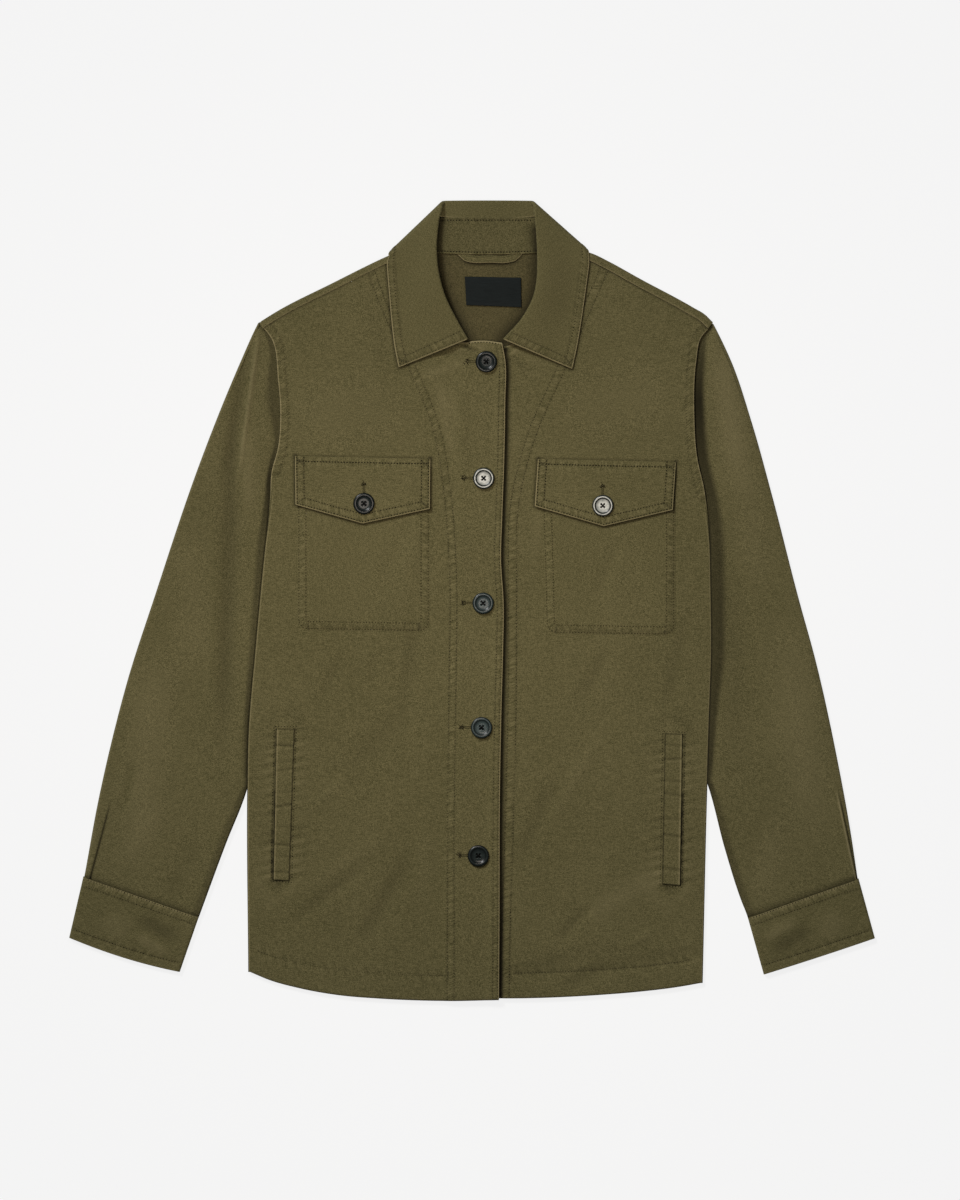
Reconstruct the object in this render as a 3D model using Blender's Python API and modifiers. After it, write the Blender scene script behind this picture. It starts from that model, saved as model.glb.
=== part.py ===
"""Button-front overshirt jacket in cotton twill, buttoned up and laid flat on its back.

The jacket rests on the plane z = 0, with its origin under the middle of its outline. X runs to the
wearer's left, Y from the hem to the collar and Z up, so the fronts lie uppermost. Right and left are
the wearer's. Sizes and tables are in millimetres, and meshes are in metres.
"""

import bmesh
import bpy
import numpy as np

MM = 0.001

# Cloth, seams and folded edges
CLOTH = 1.2
DOUBLE = 1.4
SEAM = 0.3
CURVED_SEAM = 0.6
SHOULDER_SEAM = 1.0
ROLL = 1.9
ROLL_TAIL = 0.4
ROLL_EASE = 0.8
QUARTER_TURN = ROLL * np.pi / 2
FRONT_HEIGHT = 2 * (ROLL + ROLL_TAIL) + SEAM
FOLD_RADIUS = FRONT_HEIGHT / 2
HALF_TURN = FOLD_RADIUS * np.pi
CUFF_ROLL = 2.5

# Front closing: the right front laps over the left one
FRONT_MIDDLE_X = 13.5
FRONT_MIDDLE_Y = 226.5
FRONT_MIDDLE_LEAN = 0.016
UNDERLAP = 18.0
LAP_RISE = CLOTH + SEAM + 0.4
LAP_RAMP = 15.0
LAP_AHEAD = 16.5

# Shoulders: the back wraps forward by these widths
WRAP = {"right": 5.2, "left": 9.0}
SHOULDER_OUT = {"right": (-0.6, 0.8), "left": (0.6, 0.8)}
NECK_END_X = {"right": -39.0, "left": 66.0}
NECK_X = 13.5
WRAP_TURN_RUN = 30.0
BODY_EDGE_LENGTH = 640.0
UNDERARM_CURL_ABOVE = 4.0
UNDERARM_CURL_RUN = 72.0

# Collar: a stand and a fall, folded over at the roll
FALL_EDGE_Y = 311.0
FALL_EDGE_DROP = 21.0
FALL_HALF = 93.5
FALL_X = 15.5
LAYER = DOUBLE + 4 * SEAM
LIFT = DOUBLE + 0.4
LIFT_RUN = 34.0
LIFT_REACH = 4.0
LIFT_SIDE = 30.0
LIFT_SIDE_RUN = 24.0
LEAF_GAP = 0.6
CREASE_RADIUS = 3.2
CREASE_FLAP = 10.0
CREASE_SLANT = 4.3
COLLAR_TOP_Y = 380.0
STAND_TOP_Y = 361.8
STAND_GAP = 1.4

# Buttons
BUTTON_RADIUS = 10.2
BUTTON_SIDES = 16

SIDE_SIGN = {"right": -1.0, "left": 1.0}


def table(columns, *rows):
    """Rows of numbers as one array for each named column."""
    return {name: np.array(values, float) for name, values in zip(columns.split(), zip(*rows))}


# Armhole from the shoulder tip to the underarm, then the side seam down to the hem
BODY_EDGE_POINTS = {
    "right": table(
        "x y",
        (-202.5, 263.5), (-191.5, 250.5), (-184, 208), (-182, 177), (-184, 146), (-190.5, 120.5),
        (-191.5, 101.5), (-198.5, 33.5), (-206, -46.5), (-212.5, -126.5), (-213.5, -180), (-212.5, -352.5),
    ),
    "left": table(
        "x y",
        (229, 262.5), (217, 248.5), (213, 227.5), (211, 177), (214, 134.5), (220, 108),
        (224.5, 76), (227, 10), (227.5, -50), (225.5, -108.5), (223.5, -172.5), (219, -363),
    ),
}
UNDERARM_Y = {"right": 120.5, "left": 108.0}

# Neckline of each front: the stretch that carries the collar, then the stretch to the front edge
NECK_SIDE_POINTS = {
    "right": table("x y", (-40.5, 335.5), (-43.5, 321.5), (-41, 295), (-31.5, 268), (-17, 247)),
    "left": table("x y", (69, 335), (73, 322), (71.5, 300), (66, 281), (54, 260), (40, 244)),
}
NECK_FRONT_POINTS = {
    "right": table("x y", (-17, 247), (-8, 244.8), (2, 246.3), (12, 246.6), (28.5, 244.5)),
    "left": table("x y", (-4.5, 240), (20, 240.5), (32, 241.5), (40, 244)),
}
RIGHT_FRONT_EDGE_POINTS = table(
    "x y",
    (28.5, 244.5), (31.5, 228.5), (31.5, 187.5), (30.5, 131.5), (28.5, 75.5), (27.5, 39.5), (30, -3),
    (29.5, -45), (28, -101), (26.5, -179), (26, -313), (25.5, -379),
)
LEFT_FRONT_EDGE_POINTS = table("x y", (-4.5, 240), (-8, 20), (-14, -377))
FACING_LINE_X = {"right": (-17.0, -22.0), "left": (40.0, 36.0)}
HEM_POINTS = {
    "right": table("x y", (-212.5, -352.5), (-192, -361), (-164, -368.5), (-126.5, -375), (-89, -378),
                   (-23, -380), (25.5, -379)),
    "left": table("x y", (-14, -377), (50.5, -377.5), (121, -374.5), (158.5, -371.5), (196, -367),
                  (219, -363)),
}

# Top of the back as it lies: shoulder, neck, shoulder
BACK_TOP_POINTS = table(
    "x y",
    (-202.5, 263.5), (-184, 275), (-133, 301), (-81, 326.5), (-55, 337.5), (-39, 342), (-28, 334.5),
    (-8, 330), (14, 329.5), (38, 330), (56, 335.5), (66, 346), (84, 338.5), (104, 331.5), (128.5, 324),
    (157.5, 307), (208.5, 279.5), (221.5, 272), (229, 262.5),
)
BACK_HEM_RISE = 2.0

# Soft folds: a ridge or a trough along a line, by its half width and height
FOLD_COLUMNS = "x0 y0 x1 y1 width height"
FOLD_FADE = 0.5
FRONT_FOLDS = table(
    FOLD_COLUMNS,
    (-140, -95, -60, 20, 34, 0.9), (-120, -320, -45, -160, 36, -0.8), (-160, 170, -70, 190, 36, 0.6),
    (65, -330, 180, -90, 38, 1.0), (60, -140, 110, -50, 34, -0.7), (90, 180, 180, 200, 36, 0.6),
)
SLEEVE_FOLDS = {
    "right": table(FOLD_COLUMNS, (-206, 245, -226, 120, 10, 2.0), (-232, 0, -240, -150, 13, -0.9),
                   (-300, -60, -318, -220, 22, 0.8)),
    "left": table(FOLD_COLUMNS, (236, 240, 254, 120, 13, 1.2), (246, 20, 256, -150, 13, -0.8),
                  (300, -40, 322, -210, 22, 0.8)),
}

# Sleeves: outer edge from the shoulder tip to the cuff, and the stretch of inner edge that leaves the body
SLEEVE_OUTER_POINTS = {
    "right": table("x y", (-206.6, 256.4), (-219.5, 227.5), (-239, 181), (-258.5, 130.5), (-302.5, 0.5),
                   (-326, -72), (-340.5, -126.5), (-355, -190.5), (-368, -261)),
    "left": table("x y", (232.6, 256.0), (246, 227.5), (265.5, 169.5), (285, 99.5), (310.5, 0.5),
                  (325.5, -54), (347.5, -154), (360, -223), (366, -263)),
}
SLEEVE_INNER_FREE = {
    "right": table("x y", (-217, -174), (-233.5, -230.5), (-253.5, -284.5), (-259, -299.5)),
    "left": table("x y", (227.5, -174), (240, -235.5), (255.5, -284.5), (261.5, -300)),
}
SLEEVE_START = 0.0105
SLEEVE_LEAVES_BODY = 12.0
SLEEVE_BODY_GAP = (1.2, 2.0)
SLEEVE_NARROW = 14.0
SLEEVE_FOLD_SHARE = 0.45

# Pleat above each cuff: the folded edge lies on the outer strip and fades out upwards
PLEAT = {
    "right": table("x y", (-344, -180), (-360.5, -261)),
    "left": table("x y", (348.5, -165), (361.0, -263)),
}
PLEAT_HEIGHT = 1.3
PLEAT_RUN = 34.0
PLEAT_STEP = 2.0
PLEAT_EDGE = 3.0
SLEEVE_EDGE = 8.0

# Cuffs: corners, with the lower edge bowed
CUFF_CORNERS = {
    "right": table("x y", (-369.0, -261.8), (-259.4, -300.3), (-277.5, -352.5), (-382.5, -320)),
    "left": table("x y", (367.0, -263.8), (261.8, -300.9), (277.0, -355.0), (382.5, -320.5)),
}
CUFF_BOW = {"right": 3.0, "left": 0.5}

# Leaves of the collar, from the front end up to the crease at the shoulder
LEAF_COLUMNS = "roll_x roll_y roll_z edge_x edge_y flap sink"
LEAF_ROWS = {
    "right": table(
        LEAF_COLUMNS,
        (-4, 250, 9.4, -69.5, 221.5, 6, 0.8), (-18, 269.5, 11.0, -73.5, 242, 9, 3.0),
        (-27.5, 289.5, 12.3, -76.5, 268, 8, 3.0), (-33.5, 313, 12.3, -79, 297, 6.5, 2.0),
        (-35, 336.5, 10.8, -80.5, 316, 5, 1.0), (-32.8, 360, 9.2, -80.2, 322, 7, 0.5),
    ),
    "left": table(
        LEAF_COLUMNS,
        (30.5, 249.5, 8.8, 95, 220, 6, 1.0), (48, 266, 10.6, 99.5, 241, 5, 2.0),
        (59, 286, 12.0, 104, 268, 6, 2.5), (63, 305, 12.2, 107.8, 295, 5.5, 2.0),
        (63.5, 328.5, 10.8, 110.8, 317, 5, 1.0), (62.2, 352, 9.2, 111, 324.5, 7, 0.5),
    ),
}
CREASE = {
    "right": table("x y", (-28.5, 379.4), (-78, 332)),
    "left": table("x y", (58.5, 379.4), (109.5, 334)),
}
CREASE_TURNS = np.radians((75, 50, 25, 0, -25, -50, -75))
BACK_ROLL_X = np.linspace(-20.5, 50.5, 9)
BACK_FALL_EDGE_X = np.linspace(-68, 99.5, 9)
STAND_SEAM_X = np.linspace(-36, 63, 15)
STAND_TOP_X = np.linspace(-33.5, 61, 15)

# Chest pockets, flaps and welts, by their corners from the top inner side round
POCKET_CORNERS = {
    "right": table("x y", (-166, 123), (-40, 122), (-40, -29), (-166, -24)),
    "left": table("x y", (66, 122), (193, 120), (193, -31.5), (70, -29)),
}
POCKET_CORNER_RADIUS = 10.0
FLAP_CORNERS = {
    "right": table("x y", (-168, 136), (-39.5, 133.5), (-40, 87), (-167.5, 91)),
    "left": table("x y", (62.5, 134.5), (193.5, 131.5), (190.5, 86), (59.5, 89.5)),
}
FLAP_POINT_Y = {"right": 73.0, "left": 70.5}
FLAP_RAMP = 10.0
WELT_CORNERS = {
    "right": table("x y", (-186, -121.5), (-168.5, -121.5), (-173.5, -266), (-189, -265)),
    "left": table("x y", (183, -126), (200, -126.5), (198, -270.5), (180.5, -269)),
}
BUTTON_PROFILE = table(
    "radius height",
    (0.0, 2.1), (5.4, 2.1), (6.8, 2.7), (8.0, 3.2), (9.2, 3.1), (BUTTON_RADIUS, 2.2), (9.4, 0.9), (7.0, 0.0),
    (0.0, 0.0),
)
FRONT_BUTTON_Y = (226.5, 116.0, -2.5, -120.5, -242.0)
FRONT_BUTTON_X = (13.5, 11.0, 10.5, 9.0, 6.0)
FLAP_BUTTON = {"right": (-102.5, 92.0), "left": (124.0, 90.0)}

# Inside the back neck
LABEL_CORNERS = table("x y", (-7, 307.5), (46.5, 306.5), (47, 278.5), (-5.5, 280.5))
LABEL_WALL = 1.0
LOOP_PATH = table("x y", (-10.5, 327.0), (-2, 321.5), (18, 323), (38, 321.5), (46.5, 327.0))
LOOP_WIDTH = 8.0
LOOP_RISE = 1.6

# Finishes: colour as seen, and roughness
TWILL = ((88, 82, 52), 0.85)
DARK_BUTTON = ((38, 44, 40), 0.35)
PALE_BUTTON = ((172, 176, 168), 0.3)
GREY_BUTTON = ((78, 86, 84), 0.35)
SATIN_LABEL = ((22, 30, 30), 0.5)

# Grids of the panels, as shares down and across
STRIP_COLUMNS = np.linspace(0, 1, 5)
FRONT_COLUMNS = np.array((0, 0.05, 0.1, 0.18, 0.28, 0.4, 0.52, 0.64, 0.76, 0.88, 1.0))
NECK_ROWS = np.linspace(0, 1, 8)[:-1]
LOWER_ROWS = np.concatenate((np.linspace(0, 0.3, 12)[:-1], np.linspace(0.3, 1, 10)))
NECK_ROWS_SHARE = 0.2
NECK_OUTER_SHARE = 0.045
SHOULDER_COLUMNS = 7
NECK_COLUMNS = 9
TOP_ROWS = np.linspace(0, 1, 5)[:-1]
TOP_ROWS_SHARE = 0.06
BACK_START_SHARE = 0.004
ROLL_STEPS = np.array((QUARTER_TURN / 2, QUARTER_TURN, QUARTER_TURN + ROLL_TAIL))
WRAP_STEPS = HALF_TURN * np.array((1, 0.75, 0.5, 0.25))
SLEEVE_ROWS = np.concatenate((np.linspace(0, 0.42, 13)[:-1], np.linspace(0.42, 1, 8)))
SLEEVE_COLUMNS = np.array((0, 0.045, 0.065, 0.085, 0.15, 0.26, 0.4, 0.55, 0.7, 0.85, 1.0))
FLOOR_COLUMNS = np.linspace(1, 0, 5)
EDGE_TURNS = np.radians((-60, -20, 20, 60))
FLAP_SHARES = np.array((0.0, 0.4, 0.75, 1.0))
ROLL_TURNS = np.radians((45, 90, 135))
FALL_SHARES = np.array((0, 0.12, 0.26, 0.42, 0.6, 0.8, 1.0))
FALL_SETTLES = 0.85
LEAF_SECTIONS = 9
POCKET_STRAIGHT_ROWS = 6
POCKET_COLUMNS = np.linspace(0, 1, 9)
POCKET_CORNER_TURN = np.radians(np.linspace(0, 90, 5))
POCKET_FLAP_ROWS = np.array((0, 0.1, 0.22, 0.45, 0.7, 1.0))
POCKET_FLAP_COLUMNS = np.linspace(0, 1, 11)
WELT_ROWS = np.linspace(0, 1, 8)
WELT_COLUMNS = np.linspace(0, 1, 4)
CUFF_COLUMNS = np.linspace(0, 1, 7)
CUFF_ROWS = np.linspace(0, 1, 5)


def ease(share):
    """Smooth step from 0 to 1."""
    share = np.clip(share, 0.0, 1.0)
    return share * share * (3.0 - 2.0 * share)


def smooth(knots, values):
    """Cubic through the values at the knots, with each slope taken from the neighbours."""
    knots = np.asarray(knots, float)
    values = np.asarray(values, float)
    slopes = np.gradient(values, knots, axis=0)

    def at(place):
        place = np.clip(np.asarray(place, float), knots[0], knots[-1])
        low = np.clip(np.searchsorted(knots, place, side="right") - 1, 0, len(knots) - 2)
        shape = place.shape + (1,) * (values.ndim - 1)
        span = (knots[low + 1] - knots[low]).reshape(shape)
        part = (place - knots[low]).reshape(shape) / span
        rest = 1.0 - part
        return (
            rest ** 2 * (1.0 + 2.0 * part) * values[low]
            + part * rest ** 2 * span * slopes[low]
            + part ** 2 * (3.0 - 2.0 * part) * values[low + 1]
            - part ** 2 * rest * span * slopes[low + 1]
        )

    return at


def outline(points):
    """Smooth curve through a table's points, as a function of the share of its length."""
    xy = np.stack((points["x"], points["y"]), axis=1)
    steps = np.linalg.norm(np.diff(xy, axis=0), axis=1)
    lengths = np.concatenate(([0.0], np.cumsum(steps)))
    return smooth(lengths / lengths[-1], xy)


def normals(curve, share, towards):
    """Unit normals of a curve, on the side that the direction points to."""
    step = 0.002
    run = curve(np.clip(share + step, 0, 1)) - curve(np.clip(share - step, 0, 1))
    normal = np.stack((-run[..., 1], run[..., 0]), axis=-1)
    normal /= np.linalg.norm(normal, axis=-1, keepdims=True)
    return normal * np.sign(normal @ np.array(towards))[..., None]


def mix(first, second, share):
    """Straight blend from the first value to the second."""
    return first + (second - first) * share


def roll(distance, curl, radius, bent):
    """Reach and rise of a strip after a distance, its first stretch bent by a share of the full curl."""
    arc = np.minimum(distance, bent)
    angle = arc * curl / radius
    straight = distance - arc
    reach = arc * np.sinc(angle / np.pi) + straight * np.cos(angle)
    rise = arc * angle / 2.0 * np.sinc(angle / (2.0 * np.pi)) ** 2 + straight * np.sin(angle)
    return reach, rise


def edge_roll(distance, curl):
    """Reach and rise of a panel's edge that rolls to a seam, held open a little where it starts to curl."""
    reach, rise = roll(distance, curl, ROLL, QUARTER_TURN)
    return reach, rise * mix(ROLL_EASE, 1.0, curl ** 4)


def patch(inner, outer, columns, rows, top_bend, bottom_bend):
    """Panel ruled from the inner edge to the outer one, its top and bottom bent to their curves."""
    across = columns[None, :, None]
    down = rows[:, None, None]
    flat = mix(inner[:, None, :], outer[:, None, :], across)
    return flat + (1.0 - down) ** 2 * top_bend[None] + down ** 4 * bottom_bend[None]


def bend(curve, start_x, end_x, columns):
    """How far a curve, read at evenly blended places, departs from the straight line between its ends."""
    x = mix(start_x, end_x, columns)
    y = curve(x)
    return np.column_stack((np.zeros_like(x), y - mix(y[0], y[-1], columns)))


def fall_edge_y(x):
    """Edge of the collar fall where it lies under the back."""
    return FALL_EDGE_Y + FALL_EDGE_DROP * np.minimum(np.abs(x - FALL_X) / FALL_HALF, 1.0) ** 2


def collar_lift(x, y):
    """Height by which the collar fall under the back raises the cloth over it."""
    up = ease((y - fall_edge_y(x) + LIFT_RUN) / (LIFT_RUN - LIFT_REACH))
    beside = ease((FALL_HALF + LIFT_SIDE - np.abs(x - FALL_X)) / LIFT_SIDE_RUN)
    return LIFT * up * beside


def soft_folds(x, y, folds):
    """Sum of ridges and troughs, each a bell across its line that fades at both ends."""
    total = np.zeros_like(x)
    for x0, y0, x1, y1, width, height in zip(*folds.values()):
        length = np.hypot(x1 - x0, y1 - y0)
        along = ((x - x0) * (x1 - x0) + (y - y0) * (y1 - y0)) / length ** 2
        across = ((x - x0) * (y1 - y0) - (y - y0) * (x1 - x0)) / length
        ends = ease(along / FOLD_FADE + 0.5) * ease((1.0 - along) / FOLD_FADE + 0.5)
        total += height * np.exp(-((across / width) ** 2)) * ends
    return total


def under_edge_x(y):
    """Hidden edge of the left front, beyond the buttons' line."""
    return FRONT_MIDDLE_X + FRONT_MIDDLE_LEAN * (y - FRONT_MIDDLE_Y) - UNDERLAP


def front_top(side, x, y):
    """Height of a front's outer face."""
    height = FRONT_HEIGHT + collar_lift(x, y) + soft_folds(x, y, FRONT_FOLDS)
    if side == "right":
        height = height + LAP_RISE * ease((x - under_edge_x(y) + LAP_AHEAD) / LAP_RAMP)
    return height


def back_inside(x, y):
    """Height of the back's inner face."""
    return CLOTH + collar_lift(x, y)


BODY_EDGE = {side: outline(points) for side, points in BODY_EDGE_POINTS.items()}
NECK_SIDE = {side: outline(points) for side, points in NECK_SIDE_POINTS.items()}
NECK_FRONT = {side: smooth(points["x"], points["y"]) for side, points in NECK_FRONT_POINTS.items()}
HEM = {side: smooth(points["x"], points["y"]) for side, points in HEM_POINTS.items()}
FRONT_EDGE = {"right": outline(RIGHT_FRONT_EDGE_POINTS), "left": outline(LEFT_FRONT_EDGE_POINTS)}
BACK_TOP = smooth(BACK_TOP_POINTS["x"], BACK_TOP_POINTS["y"])


def side_curl(side, y):
    """Share of the full roll at the body's edge: none on the armhole, all of it below the underarm."""
    return ease((UNDERARM_Y[side] + UNDERARM_CURL_ABOVE - y) / UNDERARM_CURL_RUN)


def rolled_edge(side, share):
    """Where the flat part of a panel ends at the body's edge, the way out and the curl, for each row."""
    edge = BODY_EDGE[side](share)
    out = normals(BODY_EDGE[side], share, (SIDE_SIGN[side], 0.0))
    curl = side_curl(side, edge[:, 1])
    reach = edge_roll(ROLL_STEPS[-1], curl)[0]
    return edge - out * reach[:, None], out, curl


def shoulder_seam(side):
    """Front shoulder seam, which follows the shoulder at the width that the back wraps forward."""
    out_x, out_y = SHOULDER_OUT[side]
    width = WRAP[side] + SHOULDER_SEAM
    return lambda x: BACK_TOP(x + out_x * width) - out_y * width


def paint(name, finish):
    """Principled material in a finish's colour and roughness."""
    colour, roughness = finish
    shade = np.array(colour) / 255.0
    linear = np.where(shade <= 0.04045, shade / 12.92, ((shade + 0.055) / 1.055) ** 2.4)
    material = bpy.data.materials.new(name)
    material.use_nodes = True
    shader = material.node_tree.nodes["Principled BSDF"]
    shader.inputs["Base Color"].default_value = (*linear, 1.0)
    shader.inputs["Roughness"].default_value = roughness
    shader.inputs["Metallic"].default_value = 0.0
    return material


def add_object(name, mesh, finish):
    """Puts a mesh into the jacket's collection as one named piece."""
    mesh.materials.append(paint(name, finish))
    mesh.shade_smooth()
    mesh.set_sharp_from_angle(angle=np.radians(50))
    piece = bpy.data.objects.new(name, mesh)
    bpy.data.collections["overshirt_jacket"].objects.link(piece)
    return piece


def add_sheet(name, points, wall, finish, faces_up=None, tube=False, left_out=None):
    """Sheet of cloth on a grid of points, walled inwards, or both ways where no outer face is named.

    Faces of the grid that are marked as left out are dropped.
    """
    rows, columns = points.shape[:2]
    form = bmesh.new()
    bmesh.ops.create_grid(form, x_segments=columns - 1, y_segments=rows - 1, size=1.0)
    for vertex, place in zip(form.verts, points.reshape(-1, 3)):
        vertex.co = place * MM
    if left_out is not None:
        unused = [face for face, drop in zip(form.faces, left_out.ravel()) if drop]
        bmesh.ops.delete(form, geom=unused, context="FACES")
    if tube:
        bmesh.ops.remove_doubles(form, verts=form.verts, dist=0.01 * MM)
    form.normal_update()
    if faces_up is not None:
        level = max if faces_up else min
        outermost = level(form.faces, key=lambda face: face.calc_center_median().z)
        if (outermost.normal.z > 0) != faces_up:
            bmesh.ops.reverse_faces(form, faces=form.faces)
    mesh = bpy.data.meshes.new(name)
    form.to_mesh(mesh)
    form.free()
    piece = add_object(name, mesh, finish)
    thickness = piece.modifiers.new("Wall", "SOLIDIFY")
    thickness.thickness = wall * MM
    thickness.offset = 0.0 if faces_up is None else -1.0
    thickness.use_even_offset = True
    return piece


def add_front(side):
    """One front: a panel from the facing line to the rolled side, and a strip on to the front edge."""
    start = (WRAP[side] + SHOULDER_SEAM) / BODY_EDGE_LENGTH
    share = np.concatenate((
        mix(start, NECK_OUTER_SHARE, NECK_ROWS),
        mix(NECK_OUTER_SHARE, 1.0, LOWER_ROWS),
    ))
    rows = np.concatenate((NECK_ROWS * NECK_ROWS_SHARE, mix(NECK_ROWS_SHARE, 1.0, LOWER_ROWS)))
    outer, out, curl = rolled_edge(side, share)
    edge = FRONT_EDGE[side](LOWER_ROWS)
    line_x = mix(*FACING_LINE_X[side], LOWER_ROWS)
    line_y = mix(NECK_SIDE[side](1.0)[1], HEM[side](line_x[-1]), LOWER_ROWS)
    line = np.column_stack((line_x, line_y))
    inner = np.concatenate((NECK_SIDE[side](NECK_ROWS), line))
    shoulder_bend = bend(shoulder_seam(side), inner[0, 0], outer[0, 0], FRONT_COLUMNS)
    side_hem_bend = bend(HEM[side], line[-1, 0], outer[-1, 0], FRONT_COLUMNS)
    main = patch(inner, outer, FRONT_COLUMNS, rows, shoulder_bend, side_hem_bend)
    neck_bend = bend(NECK_FRONT[side], edge[0, 0], line[0, 0], STRIP_COLUMNS)
    front_hem_bend = bend(HEM[side], edge[-1, 0], line[-1, 0], STRIP_COLUMNS)
    strip = patch(edge, line, STRIP_COLUMNS, LOWER_ROWS, neck_bend, front_hem_bend)[:, :-1]
    above_strip = np.broadcast_to(inner[: len(NECK_ROWS), None], (len(NECK_ROWS), strip.shape[1], 2))
    flat = np.concatenate((np.concatenate((above_strip, strip)), main), axis=1)
    x, y = flat[..., 0], flat[..., 1]
    panel = np.dstack((x, y, front_top(side, x, y)))
    rolled = []
    for distance in ROLL_STEPS:
        reach, drop = edge_roll(distance, curl)
        rolled.append((panel[:, -1] + np.column_stack((out * reach[:, None], -drop)))[:, None])
    points = np.concatenate([panel] + rolled, axis=1)
    left_out = np.zeros((points.shape[0] - 1, points.shape[1] - 1), bool)
    left_out[: len(NECK_ROWS), : strip.shape[1]] = True
    add_sheet(f"front_{side}", points, CLOTH, TWILL, faces_up=True, left_out=left_out)


def add_back():
    """The back: flat on the floor, rolled up at the sides and wrapped forward over the shoulders."""
    share = np.concatenate((
        mix(BACK_START_SHARE, NECK_OUTER_SHARE, TOP_ROWS),
        mix(NECK_OUTER_SHARE, 1.0, LOWER_ROWS),
    ))
    rows = np.concatenate((TOP_ROWS * TOP_ROWS_SHARE, mix(TOP_ROWS_SHARE, 1.0, LOWER_ROWS)))
    edges = {side: rolled_edge(side, share) for side in SIDE_SIGN}
    right, left = edges["right"][0], edges["left"][0]
    top_x = np.concatenate((
        np.linspace(right[0, 0], NECK_END_X["right"], SHOULDER_COLUMNS),
        np.linspace(NECK_END_X["right"], NECK_END_X["left"], NECK_COLUMNS)[1:-1],
        np.linspace(NECK_END_X["left"], left[0, 0], SHOULDER_COLUMNS),
    ))
    across = (top_x - top_x[0]) / (top_x[-1] - top_x[0])
    in_neck = (top_x > NECK_END_X["right"]) & (top_x < NECK_END_X["left"])
    top = np.stack((top_x, BACK_TOP(top_x) - np.where(in_neck, 0.0, FOLD_RADIUS)), axis=1)
    hem_x = mix(right[-1, 0], left[-1, 0], across)
    hem = np.stack((hem_x, np.where(hem_x < NECK_X, HEM["right"](hem_x), HEM["left"](hem_x))), axis=1)
    top_bend = top - mix(right[:1], left[:1], across[:, None])
    hem_bend = hem + (0, BACK_HEM_RISE) - mix(right[-1:], left[-1:], across[:, None])
    flat = patch(right, left, across, rows, top_bend, hem_bend)
    columns = [flat]
    rises = [np.zeros(flat.shape[:2])]
    for side in SIDE_SIGN:
        _, out, curl = edges[side]
        inner = flat[:, 0] if side == "right" else flat[:, -1]
        strips = [edge_roll(distance, curl) for distance in ROLL_STEPS]
        places = [(inner + out * reach[:, None])[:, None] for reach, _ in strips]
        heights = [rise[:, None] for _, rise in strips]
        if side == "right":
            columns = places[::-1] + columns
            rises = heights[::-1] + rises
        else:
            columns += places
            rises += heights
    base = np.concatenate(columns, axis=1)
    rise = np.concatenate(rises, axis=1) + collar_lift(base[..., 0], base[..., 1])
    panel = np.dstack((base, rise))
    wrap = shoulder_wrap(panel[0])
    first_neck = len(ROLL_STEPS) + SHOULDER_COLUMNS - 1
    left_out = np.zeros((len(wrap) + len(panel) - 1, panel.shape[1] - 1), bool)
    left_out[: len(wrap), first_neck : first_neck + NECK_COLUMNS - 1] = True
    add_sheet("back", np.concatenate((wrap, panel)), CLOTH, TWILL, faces_up=False, left_out=left_out)


def shoulder_wrap(edge):
    """Rows that roll the back's top edge up and forward, from the shoulder seam back to that edge."""
    x = edge[:, 0]
    on_left = x > NECK_X
    from_neck = np.where(on_left, x - NECK_END_X["left"], NECK_END_X["right"] - x)
    forward = np.where(on_left, WRAP["left"], WRAP["right"]) - FOLD_RADIUS
    slope = np.where(on_left[:, None], SHOULDER_OUT["left"], SHOULDER_OUT["right"])
    way = mix(np.array((0.0, 1.0)), slope, ease(from_neck / WRAP_TURN_RUN)[:, None])
    distances = [HALF_TURN + forward] + [np.full(len(x), step) for step in WRAP_STEPS]
    rows = []
    for distance in distances:
        reach, rise = roll(distance, 1.0, FOLD_RADIUS, HALF_TURN)
        rows.append(edge + np.column_stack((way * reach[:, None], rise)))
    return np.stack(rows)


def sleeve_inner_edge(side):
    """Sleeve's inner edge: beside the armhole and the body's side, then free down to the cuff."""
    body = BODY_EDGE[side]
    every = np.linspace(0, 1, 400)
    every_y = body(every)[:, 1]
    free = np.stack((SLEEVE_INNER_FREE[side]["x"], SLEEVE_INNER_FREE[side]["y"]), axis=1)
    underarm = every[np.argmin(np.abs(every_y - UNDERARM_Y[side]))]
    leaves = every[np.argmin(np.abs(every_y - free[0, 1] - SLEEVE_LEAVES_BODY))]
    along = np.linspace(SLEEVE_START, leaves, 30)
    gap = np.interp(along, (SLEEVE_START, underarm, leaves), (CURVED_SEAM, *SLEEVE_BODY_GAP))
    beside = body(along) + normals(body, along, (SIDE_SIGN[side], 0.0)) * gap[:, None]
    joined = np.concatenate((beside, free))
    return outline({"x": joined[:, 0], "y": joined[:, 1]})


def pleat_height(side, x, y):
    """Folded edge of the sleeve's pleat: a step up that eases off across the sleeve."""
    (x0, x1), (y0, y1) = PLEAT[side]["x"], PLEAT[side]["y"]
    length = np.hypot(x1 - x0, y1 - y0)
    along = ((x - x0) * (x1 - x0) + (y - y0) * (y1 - y0)) / length ** 2
    beyond = ((x - x0) * (y1 - y0) - (y - y0) * (x1 - x0)) / length * SIDE_SIGN[side]
    step = ease(beyond / PLEAT_STEP) * ease((PLEAT_RUN - beyond) / PLEAT_RUN)
    return PLEAT_HEIGHT * ease(along) * step


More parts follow.
